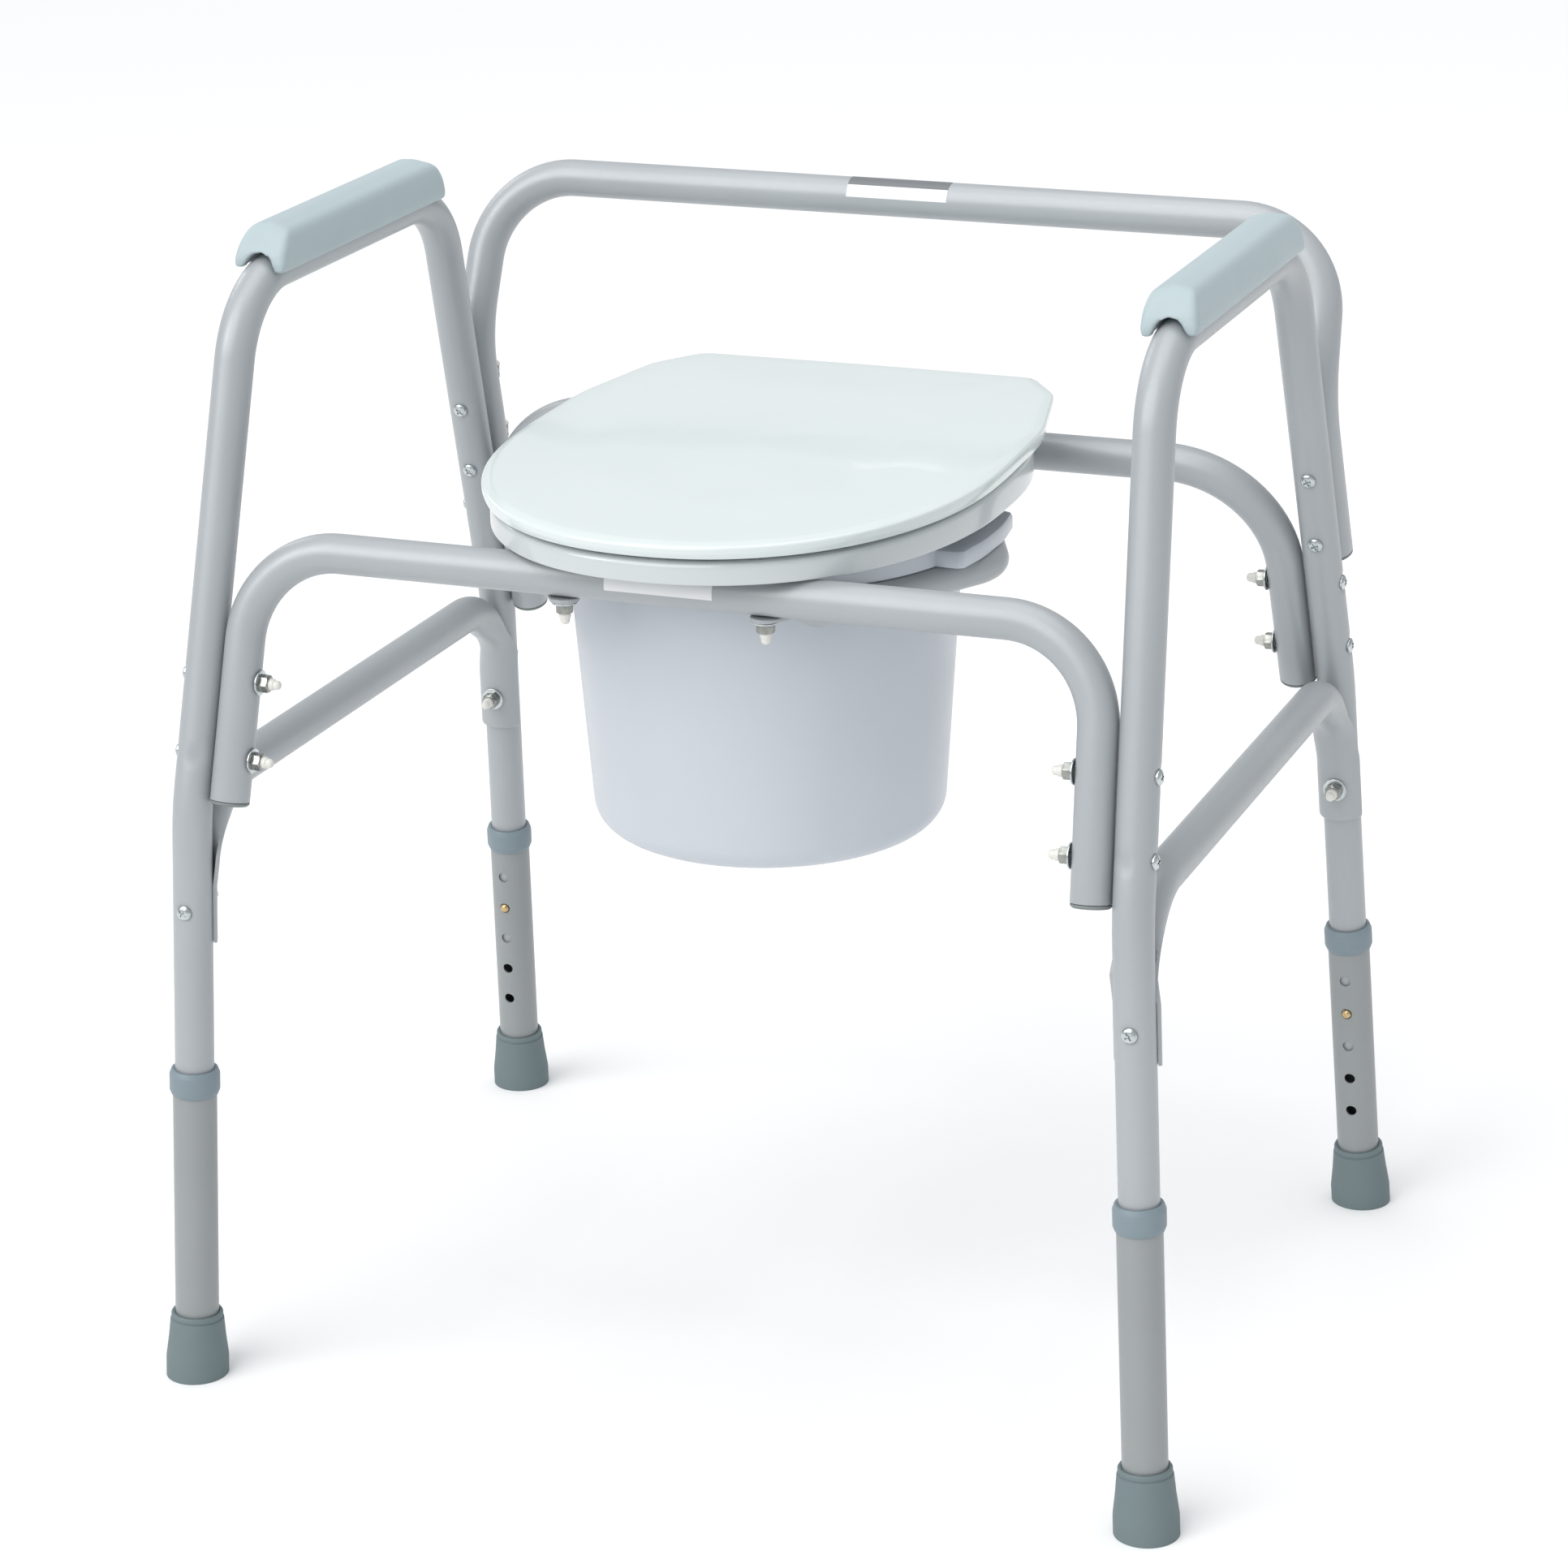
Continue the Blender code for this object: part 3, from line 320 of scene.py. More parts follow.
def turned(profile, steps=64, closed=False, corner_step=18):
    """Turns a profile of (r, z, corner radius) about Z. A closed profile comes back to its start."""
    flat = [Vector((r, z, 0)) for r, z, _ in profile]
    radii = [c for _, _, c in profile]
    if closed:
        middle = (flat[0] + flat[-1]) / 2
        path = fillet([middle] + flat + [middle], radii, corner_step)[:-1]
    else:
        path = fillet(flat, radii[1:-1], corner_step)
    bm = bmesh.new()
    rows = []
    for p in path:
        if p.x < 1e-7:
            rows.append([bm.verts.new((0, 0, p.y))])
            continue
        angles = [2 * math.pi * k / steps for k in range(steps)]
        rows.append([bm.verts.new((p.x * math.cos(a), p.x * math.sin(a), p.y)) for a in angles])
    pairs = list(zip(rows, rows[1:]))
    if closed:
        pairs.append((rows[-1], rows[0]))
    for one, two in pairs:
        for k in range(steps):
            after = (k + 1) % steps
            if len(one) == 1:
                bm.faces.new((one[0], two[after], two[k]))
            elif len(two) == 1:
                bm.faces.new((one[k], one[after], two[0]))
            else:
                bm.faces.new((one[k], one[after], two[after], two[k]))
    return mesh_from(bm)


def refined(path, places, spacing=0.0014, reach=0.0112):
    """The path with extra points near each place, so that a dent there has points to move."""
    result = [path[0]]
    for a, b in zip(path, path[1:]):
        length = (b - a).length
        shares = set()
        for place in places:
            along = (place - a).dot(b - a) / length
            for k in range(int(-reach / spacing), int(reach / spacing) + 1):
                at = along + k * spacing
                inside = spacing * 0.4 < at < length - spacing * 0.4
                if inside and (a.lerp(b, at / length) - place).length < 0.03:
                    shares.add(round(at / length, 5))
        result += [a.lerp(b, share) for share in sorted(shares)]
        result.append(b)
    return result


def swept(path, radius, sides=48, edge=0.0006):
    """A round bar along a path, its end edges slightly rounded."""
    tangents = []
    for k in range(len(path)):
        ahead = (path[min(k + 1, len(path) - 1)] - path[k]).normalized() if k < len(path) - 1 else Vector()
        behind = (path[k] - path[k - 1]).normalized() if k > 0 else Vector()
        tangents.append((ahead + behind).normalized())
    normal = tangents[0].orthogonal().normalized()
    rings = []

    def ring(centre, across, up, r):
        angles = [2 * math.pi * k / sides for k in range(sides)]
        return [centre + across * (r * math.cos(a)) + up * (r * math.sin(a)) for a in angles]

    for k, (spot, tangent) in enumerate(zip(path, tangents)):
        if k:
            turn = tangents[k - 1].rotation_difference(tangent)
            normal = (turn @ normal).normalized()
        up = tangent.cross(normal)
        if k == 0:
            rings.append(ring(spot, normal, up, radius - edge))
            rings.append(ring(spot + tangent * edge * 0.3, normal, up, radius - edge * 0.3))
            rings.append(ring(spot + tangent * edge, normal, up, radius))
        elif k == len(path) - 1:
            rings.append(ring(spot - tangent * edge, normal, up, radius))
            rings.append(ring(spot - tangent * edge * 0.3, normal, up, radius - edge * 0.3))
            rings.append(ring(spot, normal, up, radius - edge))
        else:
            rings.append(ring(spot, normal, up, radius))
    return skin(rings)


def dent(mesh, places, reach=0.0095, depth=0.0017):
    """Presses a soft dimple into the surface under each (place, outward) bolt head."""
    for vertex in mesh.vertices:
        for place, outward in places:
            away = vertex.co - place
            if away.dot(outward) < 0:
                continue
            flat = (away - outward * away.dot(outward)).length
            if flat < reach:
                vertex.co -= outward * depth * math.cos(flat / reach * math.pi / 2) ** 2
    return mesh


# ---------------------------------------------------------------- where the frame runs
def leg_x(side, z):
    return side * (FOOT_HALF_WIDTH - SIDE_LEAN * z)


def leg_point(side, end, z):
    if end == "front":
        low, kink, high = FRONT_FOOT, FRONT_KINK, FRONT_CORNER
    else:
        low, kink, high = REAR_FOOT, REAR_KINK, REAR_CORNER
    a, b = (low, kink) if z < kink[1] else (kink, high)
    return Vector((leg_x(side, z), a[0] + (b[0] - a[0]) * (z - a[1]) / (b[1] - a[1]), z))


def leg_down(side, end):
    return (leg_point(side, end, 0.0) - leg_point(side, end, 0.3)).normalized()


def leg_turn(side, end):
    """Rotation that sets +Z up the lower leg and +X towards the holes."""
    up = -leg_down(side, end)
    face = Vector((0, 1 if end == "front" else -1, 0))
    across = (face - up * face.dot(up)).normalized()
    return Matrix((across, up.cross(across), up)).transposed().to_4x4()


def place_on_leg(side, end, z):
    return Matrix.Translation(leg_point(side, end, z)) @ leg_turn(side, end)


def bar_line(end):
    z = FRONT_BAR_Z if end == "front" else REAR_BAR_Z
    return leg_point(1, end, z).y, z


OUTWARD = {side: Vector((side, 0, SIDE_LEAN)).normalized() for side in (-1, 1)}
rear_slope = (REAR_CORNER[0] - REAR_KINK[0]) / (REAR_CORNER[1] - REAR_KINK[1])
BACKWARD = Vector((0, 1, -rear_slope)).normalized()


# ---------------------------------------------------------------- fasteners
def bolt_places():
    """(name, middle of the first tube, direction from nut to head, grip) of every bolt."""
    two_tubes = SPACING + 2 * TUBE_R + 2 * GAP
    places = []
    for word, side in SIDES.items():
        for end, heights in (("front", FRONT_BAR_BOLTS), ("rear", REAR_BAR_BOLTS)):
            for level, z in zip(("upper", "lower"), heights):
                name = f"{end}_crossbar_bolt_{word}_{level}"
                places.append((name, leg_point(side, end, z), OUTWARD[side], two_tubes))
        for level, z in zip(("upper", "lower"), BACK_BAR_BOLTS):
            places.append((f"back_bar_bolt_{word}_{level}", leg_point(side, "rear", z), -BACKWARD, two_tubes))
        for end, outward in (("front", -1), ("rear", 1)):
            down = leg_down(side, end)
            square = Vector((0, outward, 0))
            square = (square - down * square.dot(down)).normalized()
            grip = 2 * TUBE_R + SADDLE_THICKNESS + 3 * GAP
            places.append((f"{end}_brace_bolt_{word}", leg_point(side, end, BRACE_BOLTS[end]), square, grip))
            middle = Vector((side * RAIL_BOLT_X, *bar_line(end)))
            grip = 2 * TUBE_R + RAIL_TAB_THICKNESS + 3 * GAP
            places.append((f"{end}_rail_bolt_{word}", middle, Vector((0, 0, 1)), grip))
    return places


BOLTS = bolt_places()


def pan_head():
    """A pan head with a cross recess, its underside at z = 0, and its shank."""
    profile = [(0, 0.0031, 0), (0.0036, 0.0029, 0.003), (0.0051, 0.0014, 0.0012), (0.0050, -0.0003, 0.0003)]
    profile += [(0.0029, -0.0003, 0), (0.0029, -0.004, 0), (0, -0.004, 0)]
    head = turned(profile, 40)
    arms = [box(Vector((0, 0, 0.0028)), (0.0056, 0.00115, 0.0024))]
    arms.append(box(Vector((0, 0, 0.0028)), (0.00115, 0.0056, 0.0024)))
    pit = bar(0.0003, (0, 0, 0.0008), (0, 0, 0.0036), 4, 0.0018)
    return cut(head, *arms, pit)


def washer(inner=0.0031, outer=0.0081, thickness=0.0011):
    corner = 0.0003
    loop = [(outer, thickness, corner), (outer, 0, corner), (inner, 0, corner), (inner, thickness, corner)]
    return turned(loop, 48, closed=True, corner_step=30)


def hexagon_nut(radius=0.0059, height=0.0062):
    """A hexagon nut, chamfered at its outer end, that runs down from z = 0."""
    blank = bar(radius, (0, 0, 0), (0, 0, -height), 6)
    blank = baked(blank, ("BEVEL", {"width": 0.00025, "segments": 2, "limit_method": "ANGLE"}))
    tip = -height - 0.0006
    profile = [(0, 0.001, 0), (0.0075, 0.001, 0), (0.0075, -height * 0.66, 0), (0.0040, tip, 0), (0, tip, 0)]
    cone = turned(profile, 48)
    return baked(blank, ("BOOLEAN", {"operation": "INTERSECT", "object": cone}))


def thread_cap(start=0.0055):
    """The plastic cap that covers the thread's end, from the nut down."""
    profile = [(0, -start, 0), (0.0038, -start, 0)]
    profile += [(0.0037, -start - 0.0035, 0.0006), (0.0031, -start - 0.0040, 0.0005)]
    profile += [(0.0029, -start - 0.0078, 0.0024), (0, -start - 0.0083, 0)]
    return turned(profile, 40)


HEAD, WASHER, NUT, CAP = pan_head(), washer(), hexagon_nut(), thread_cap()
for bolt_name, middle, out, grip in BOLTS:
    under_head = middle + out * (TUBE_R + GAP)
    facing = out.to_track_quat("Z", "Y").to_matrix().to_4x4()
    spin = Matrix.Rotation(math.radians(37 * len(bolt_name) % 60), 4, "Z")
    sunk = 0.0017 if "rail" not in bolt_name else 0.0002
    far_face = Matrix.Translation(under_head - out * grip) @ facing
    head_place = Matrix.Translation(under_head - out * sunk) @ facing @ spin
    piece(f"{bolt_name}_head", HEAD, ZINC, "frame", [bolt_name], matrix=head_place)
    piece(f"{bolt_name}_washer", WASHER, ZINC, "frame", matrix=far_face @ Matrix.Translation((0, 0, -0.0011)))
    on_washer = far_face @ Matrix.Translation((0, 0, -0.0011))
    piece(f"{bolt_name}_nut", NUT, NUT_ZINC_PAINTED_SHADE, "frame", matrix=on_washer @ spin)
    piece(f"{bolt_name}_cap", CAP, CAP_PLASTIC, "frame", matrix=on_washer)


def heads_on(word, kinds):
    """(place, outward) of each bolt head that bears on a side frame."""
    found = []
    for name, middle, out, _ in BOLTS:
        if f"_{word}" in name and any(kind in name for kind in kinds):
            found.append((middle, out))
    return found


# ---------------------------------------------------------------- frame tubes
def end_plug(name, place, outward):
    """A moulded plug whose rim covers the end of a tube."""
    profile = [(0, 0.0022, 0), (0.0030, 0.0022, 0), (0.0034, 0.0027, 0.0003)]
    profile += [(0.0112, 0.0027, 0.0008), (0.0126, 0.0014, 0.0008)]
    profile += [(0.0126, GAP, 0.0002), (0.0098, GAP, 0), (0.0098, -0.002, 0), (0, -0.002, 0)]
    turn = outward.to_track_quat("Z", "Y").to_matrix().to_4x4()
    piece(name, turned(profile, 56), PLUG_PLASTIC, "frame", [name], matrix=Matrix.Translation(place) @ turn)


for word, side in SIDES.items():
    spots = [Vector((leg_x(side, z), y, z)) for y, z in (FRONT_KINK, FRONT_CORNER, REAR_CORNER, REAR_KINK)]
    corners = [leg_point(side, "front", INNER_LEG_END), *spots, leg_point(side, "rear", INNER_LEG_END)]
    route = fillet(corners, (KINK_RADIUS, CORNER_RADIUS, CORNER_RADIUS, KINK_RADIUS))
    heads = heads_on(word, ("crossbar", "back_bar", "brace"))
    tube = swept(refined(route, [place for place, _ in heads]), TUBE_R)
    piece(f"{word}_frame_tube", dent(tube, heads), FRAME_PAINT, "frame", [f"{word}_side_frame"])

crossbars = (
    ("front", FRONT_BAR_Z, FRONT_BAR_END_Z, CORNER_RADIUS),
    ("rear", REAR_BAR_Z, REAR_BAR_END_Z, REAR_BAR_BEND_RADIUS),
)
for end, top_z, end_z, bend_radius in crossbars:

    def inboard(side, z):
        return leg_point(side, end, z) - Vector((side * SPACING, 0, 0))

    corners = [inboard(-1, end_z), inboard(-1, top_z), inboard(1, top_z), inboard(1, end_z)]
    tube = swept(fillet(corners, bend_radius), TUBE_R)
    piece(f"{end}_crossbar_tube", tube, FRAME_PAINT, "frame", [f"{end}_crossbar"])
    for word, side in SIDES.items():
        away = (inboard(side, end_z) - inboard(side, top_z)).normalized()
        end_plug(f"{end}_crossbar_plug_{word}", inboard(side, end_z), away)


def behind(side, z):
    return leg_point(side, "rear", z) + BACKWARD * SPACING


corners = [behind(-1, BACK_BAR_END_Z), behind(-1, BACK_BAR_BEND_Z)]
corners += [Vector((leg_x(-1, BACK_BAR_TOP[1]), *BACK_BAR_TOP))]
corners += [Vector((-c.x, c.y, c.z)) for c in reversed(corners)]
radii = (BACK_BAR_BEND_RADIUS, CORNER_RADIUS, CORNER_RADIUS, BACK_BAR_BEND_RADIUS)
piece("back_bar_tube", swept(fillet(corners, radii), TUBE_R), FRAME_PAINT, "frame", ["back_bar"])
for word, side in SIDES.items():
    away = (behind(side, BACK_BAR_END_Z) - behind(side, BACK_BAR_BEND_Z)).normalized()
    end_plug(f"back_bar_plug_{word}", behind(side, BACK_BAR_END_Z), away)


def side_brace(side):
    """A level tube whose two ends bend down and are pressed into saddles that hug the legs."""
    hug = TUBE_R + GAP
    middle_r = hug + SADDLE_THICKNESS / 2
    count = 36
    half = count // 2

    def saddle_ring(end, sign, z, spread=SADDLE_HALF_ANGLE, trim=0.0):
        place = place_on_leg(side, end, z)
        even_shares = [2 * k / (half - 1) - 1 for k in range(half)]
        shares = [math.sin(math.pi / 2 * share) * 0.25 + 0.75 * share for share in even_shares]
        outer, inner = hug + SADDLE_THICKNESS - trim, hug + trim
        polar = [(outer, spread * s) for s in shares] + [(inner, -spread * s) for s in shares]
        return [place @ Vector((r * math.cos(a), sign * r * math.sin(a), 0)) for r, a in polar]

    def round_ring(centre, inward):
        angles = [math.pi * ((k + 0.5) / half - 0.5) for k in range(count)]
        across = Vector((-TUBE_R, 0, 0))
        return [centre + inward * (TUBE_R * math.cos(a)) + across * math.sin(a) for a in angles]

    rings = []
    for end, sign in (("front", 1), ("rear", -1)):
        low = SADDLE_ENDS[end]
        up = -leg_down(side, end)
        lean = math.atan2(sign * up.y, up.z)
        centre = Vector((leg_x(side, BRACE_Z), 0, BRACE_Z - BRACE_BEND_RADIUS))
        start_z = centre.z + BRACE_BEND_RADIUS * math.sin(lean)
        centre.y = leg_point(side, end, start_z).y + sign * (middle_r + BRACE_BEND_RADIUS) * math.cos(lean)
        stretch = []
        rounding = ((0, 0.10, 0.0007), (0.0004, 0.06, 0.0003), (0.0012, 0.02, 0), (0.0030, 0, 0))
        for up_by, narrower, trim in rounding:
            stretch.append(saddle_ring(end, sign, low + up_by, SADDLE_HALF_ANGLE - narrower, trim))
        stretch += [saddle_ring(end, sign, low + (start_z - 0.012 - low) * k / 4) for k in range(1, 5)]
        pressed = saddle_ring(end, sign, start_z)
        start = leg_point(side, end, start_z) + Vector((0, sign * middle_r * math.cos(lean), 0))
        steps = 20
        for k in range(1, steps + 1):
            turn = lean + (math.pi / 2 - lean) * k / steps
            inward = Vector((0, sign * math.cos(turn), -math.sin(turn)))
            spot = centre - inward * BRACE_BEND_RADIUS
            share = min(1.0, k / steps / 0.52)
            roundness = share * share * (3 - 2 * share)
            carried = [p - start + spot for p in pressed]
            stretch.append([a.lerp(b, roundness) for a, b in zip(carried, round_ring(spot, inward))])
        rings += stretch if end == "front" else list(reversed(stretch))
    return skin(rings)


def pail_rail(side):
    """A bent tube whose two flattened ends bolt up under the crossbars."""
    front_y, front_z = bar_line("front")
    rear_y, rear_z = bar_line("rear")
    drop = TUBE_R + GAP + RAIL_TAB_THICKNESS / 2
    front = Vector((RAIL_BOLT_X, front_y, front_z - drop))
    rear = Vector((RAIL_BOLT_X, rear_y, rear_z - drop))
    corner = Vector((*RAIL_CORNER, RAIL_Z))
    bend = fillet([front.xy.to_3d(), corner.xy.to_3d(), rear.xy.to_3d()], RAIL_BEND_RADIUS, 5)[1:-1]
    count = 32

    def section(centre, ahead, flat, narrow=0.0):
        outward = Vector((ahead.y, -ahead.x, 0)).normalized()
        wide = RAIL_R + (RAIL_TAB_WIDTH / 2 - RAIL_R) * flat - narrow
        tall = RAIL_R + (RAIL_TAB_THICKNESS / 2 - RAIL_R) * flat
        power = 1 - 0.72 * flat
        ring = []
        for k in range(count):
            a = 2 * math.pi * (k + 0.5) / count
            rise = tall * math.copysign(abs(math.sin(a)) ** power, math.sin(a))
            run = wide * math.copysign(abs(math.cos(a)) ** (1 - 0.3 * flat), math.cos(a))
            p = centre + outward * run + Vector((0, 0, rise))
            ring.append(Vector((side * p.x, p.y, p.z)))
        return ring

    def stretch_from(tab, sign):
        level = Vector((1, 1, 0))
        ahead = ((corner - tab) * level).normalized()
        rings = []
        for back in (0.0094, 0.0088, 0.0076, 0.0058, 0.0034, 0.0):
            narrow = RAIL_TAB_WIDTH / 2 - math.sqrt((RAIL_TAB_END + 0.0001) ** 2 - back**2)
            rings.append(section(tab - ahead * back, ahead * sign, 1, narrow))
        steps = 14
        for k in range(steps + 1):
            share = k / steps
            ease = share * share * (3 - 2 * share)
            spot = tab + ahead * (0.010 + 0.034 * share)
            spot.z = tab.z + (RAIL_Z - tab.z) * ease
            rings.append(section(spot, ahead * sign, 1 - ease))
        return rings

    rings = stretch_from(front, 1)
    for before, spot, after in zip([front] + bend, bend, bend[1:] + [rear]):
        rings.append(section(Vector((spot.x, spot.y, RAIL_Z)), (after - before) * Vector((1, 1, 0)), 0))
    rings += list(reversed(stretch_from(rear, -1)))
    return skin(rings)


for word, side in SIDES.items():
    piece(f"{word}_brace_tube", side_brace(side), FRAME_PAINT, "frame", [f"{word}_side_brace"])
    piece(f"{word}_rail_tube", pail_rail(side), FRAME_PAINT, "frame", [f"{word}_pail_rail"])


# ---------------------------------------------------------------- labels
def label(name, middle, across, start_deg, stop_deg, band_deg=0):
    """A thin sticker round a level tube, from one angle to another above the horizontal at its front."""
    rings = []
    steps = 16
    for k in range(steps + 1):
        angle = math.radians(start_deg + (stop_deg - start_deg) * k / steps)
        out = Vector((0, -math.cos(angle), math.sin(angle)))
        near, far = middle + out * (TUBE_R + 0.00004), middle + out * (TUBE_R + 0.0002)
        rings.append([near - across, far - across, far + across, near + across])
    mesh = skin(rings)
    made = piece(name, mesh, [LABEL_WHITE, LABEL_GREY], "frame")
    if band_deg:
        for face in mesh.polygons:
            away = face.center - middle
            angle = math.degrees(math.atan2(away.z, -away.y))
            face.material_index = 1 if angle > stop_deg - band_deg else 0
    return made


label("back_bar_label", Vector((0.002, *BACK_BAR_TOP)), Vector((0.036, 0, 0)), 8, 98, band_deg=48)
label("crossbar_label", Vector((0.0015, *bar_line("front"))), Vector((0.0355, 0, 0)), -12, 80)


# ---------------------------------------------------------------- adjustable legs
def hollow(outer, inner, top, foot, corner=0.0004):
    loop = [(outer, top, corner), (outer, foot, corner), (inner, foot, 0), (inner, top, corner)]
    return turned(loop, 72, closed=True, corner_step=30)


for word, side in SIDES.items():
    for end in ENDS:
        label_text = f"{end}_{word}"
        body = f"leg_{label_text}"
        on_leg = place_on_leg(side, end, 0.0)
        along = 1 / -leg_down(side, end).z
        top, foot = EXTENSION_TOP * along, EXTENSION_FOOT * along
        holes = []
        for k in range(HOLES):
            z = TOP_HOLE_Z * along - k * HOLE_PITCH
            holes.append(bar(HOLE_R, (0.006, 0, z), (0.02, 0, z), 28))
        tube = cut(hollow(EXTENSION_R, EXTENSION_BORE, top, foot), *holes)
        replaced = [f"leg_extension_{label_text}"]
        piece(f"extension_tube_{label_text}", tube, EXTENSION_PAINT, body, replaced, matrix=on_leg)

        collar_top = COLLAR_TOP * along
        collar_foot = collar_top - COLLAR_HEIGHT
        lip_foot = top + GAP
        grip = EXTENSION_R + 0.0001
        loop = [
            (0.0150, collar_top, 0.0004),
            (COLLAR_R, collar_top - 0.0035, 0.0010),
            (COLLAR_R, collar_foot + 0.0035, 0.0010),
            (0.0150, collar_foot, 0.0004),
            (grip, collar_foot, 0),
            (grip, lip_foot, 0),
            (TUBE_R + 0.0001, lip_foot, 0),
            (TUBE_R + 0.0001, collar_top, 0.0004),
        ]
        band = turned(loop, 72, closed=True, corner_step=18)
        piece(f"collar_{label_text}", band, COLLAR_PLASTIC, body, [f"leg_collar_{label_text}"], matrix=on_leg)

        tip_top = TIP_HEIGHT * along
        side_wall = [
            (0.0163, tip_top, 0),
            (0.0170, tip_top - 0.0010, 0.0006),
            (0.0170, tip_top - 0.0032, 0.0004),
            (0.0165, tip_top - 0.0035, 0.0002),
            (0.0165, tip_top - 0.0043, 0.0002),
            (TIP_TOP_R, tip_top - 0.0050, 0.0006),
            (TIP_TOP_R + 0.0012, tip_top - 0.018, 0.02),
            (TIP_FOOT_R, 0.0125, 0.012),
            (TIP_FOOT_R, -0.004, 0),
        ]
        corners = [Vector((r, z, 0)) for r, z, _ in side_wall]
        outline = fillet(corners, [c for _, _, c in side_wall[1:-1]], 12)
        profile = [(0, foot - GAP, 0), (grip, foot - GAP, 0)]
        profile += [(grip, tip_top - 0.0005, 0), (grip + 0.0005, tip_top, 0)]
        profile += [(p.x, p.y, 0) for p in outline]
        profile += [(0, -0.004, 0)]
        shape = turned(profile, 72)
        floor = leg_point(side, end, 0)
        level = on_leg.inverted()
        under = bpy.data.meshes.new("under")
        slab = bmesh.new()
        under_floor = Matrix.Translation(floor + Vector((0, 0, -0.05)))
        bmesh.ops.create_cube(slab, size=0.1, matrix=level @ under_floor)
        slab.to_mesh(under)
        slab.free()
        shape = cut(shape, under)
        piece(f"tip_{label_text}", shape, TIP_RUBBER, body, [f"rubber_tip_{label_text}"], matrix=on_leg)

        button_z = TOP_HOLE_Z * along - HOLE_PITCH
        reach = EXTENSION_R
        profile = [(0, reach + 0.0023, 0), (0.0022, reach + 0.0019, 0.0015), (0.0032, reach + 0.0003, 0.0010)]
        dome = turned(profile + [(0.0032, 0.0062, 0), (0, 0.0062, 0)], 36)
        turn = Matrix.Translation((0, 0, button_z)) @ Matrix.Rotation(math.pi / 2, 4, "Y")
        button = f"button_{label_text}"
        piece(button, dome, BRASS, button, [f"snap_{button}"], matrix=on_leg @ turn)


# ---------------------------------------------------------------- arm pads
def pad_rake(v, front, rear):
    """How far the pad's ends lean back at a height above the arm tube's middle."""
    crest = min(1.0, max(0.0, (v - 0.006) / 0.025))
    return front * crest**2 - rear * (1 - math.sqrt(1 - 0.96 * crest**2))


def arm_pad(side):
    """A moulded pad over the tube, with a raked front wall that has an arch, and a rounded rear and crest."""
    middle = Vector((leg_x(side, FRONT_CORNER[1]), 0, FRONT_CORNER[1]))
    roll = Matrix.Rotation(-side * PAD_ROLL, 4, "Y")
    half = [(0.0132, 0.0035), (0.0177, 0.0035), (0.0184, 0.0090)]
    half += [(0.0172, 0.0180), (0.0138, 0.0288), (0.0, 0.0313)]
    outer = fillet([Vector((u, v, 0)) for u, v in half], [0.0020, 0.006, 0.020, 0.0075], 12)
    arch = [math.radians(15.4 + 5 * k) for k in range(16)]
    section = [(p.x, p.y) for p in outer]
    section += [(-u, v) for u, v in reversed(section[:-1])]
    bore = [(-0.0132 * math.cos(a), 0.0132 * math.sin(a)) for a in arch[1:]]
    section += bore + [(-u, v) for u, v in reversed(bore[:-1])]

    def ring(y, front, rear, inset=0.0):
        """A station of the pad. The inset draws its outer side in, least at the lips beside the tube."""
        spots = []
        for k, (u, v) in enumerate(section):
            if k < 2 * len(outer) - 1:
                share = inset * min(1.0, v / 0.012)
                u, v = u * (1 - share / 0.018), v - share * max(0.0, v - 0.010) / 0.021
            spots.append(middle + roll @ Vector((u, y + pad_rake(v, front, rear), v)))
        return spots

    length = PAD_REAR - PAD_FRONT
    edges = (0.0, 0.0005, 0.0014, 0.0027, 0.0042)
    insets = [FRONT_EDGE_R - math.sqrt(FRONT_EDGE_R**2 - (FRONT_EDGE_R - edge) ** 2) for edge in edges]
    places = list(zip(edges, insets))
    places += [(length * k / 30, 0.0) for k in range(1, 30)]
    places += [(length - edge, inset) for edge, inset in reversed(places[: len(edges)])]
    rings = []
    for along, inset in places:
        share = along / length
        front = 0.016 * max(0.0, 1 - share / 0.35) ** 1.5
        rear = 0.018 * max(0.0, 1 - (1 - share) / 0.25) ** 1.5
        rings.append(ring(PAD_FRONT + along, front, rear, inset * 0.75))
    solid = baked(skin(rings), ("TRIANGULATE", {}))
    pear = [(0.0118, 0.0), (0.0115, 0.004), (0.0090, 0.008), (0.0065, 0.0125), (0.0, 0.0145)]
    pear = fillet([Vector((u, v, 0)) for u, v in pear], [0.01, 0.02, 0.004], 12)
    pear = [(p.x, p.y) for p in pear] + [(-p.x, p.y) for p in reversed(pear[:-1])]
    wall = 0.007

    def block(points, y_start, y_stop):
        def end(y):
            return [middle + roll @ Vector((u, y + pad_rake(v, 0.016, 0), v)) for u, v in points]

        return skin([end(y_start), end(y_stop)])

    angles = [math.radians(13 + 7 * k) for k in range(23)]
    infill = [(0.0152 * math.cos(a), 0.0152 * math.sin(a)) for a in angles]
    plug = baked(block(infill, PAD_FRONT + 0.0002, PAD_FRONT + wall), ("TRIANGULATE", {}))
    solid = cut(solid, plug, join=True)
    below = [(-0.0118, -0.004), (0.0118, -0.004)]
    solid = cut(solid, block(pear + below, PAD_FRONT - 0.02, PAD_FRONT + wall + 0.004))
    soft = (
        ("REMESH", {"mode": "VOXEL", "voxel_size": 0.0011, "use_smooth_shade": True}),
        ("SMOOTH", {"factor": 0.5, "iterations": 12}),
    )
    return baked(solid, *soft)


for word, side in SIDES.items():
    pad = piece(f"{word}_pad", arm_pad(side), PAD_FOAM, "frame", [f"{word}_arm_pad"], sharp=80)


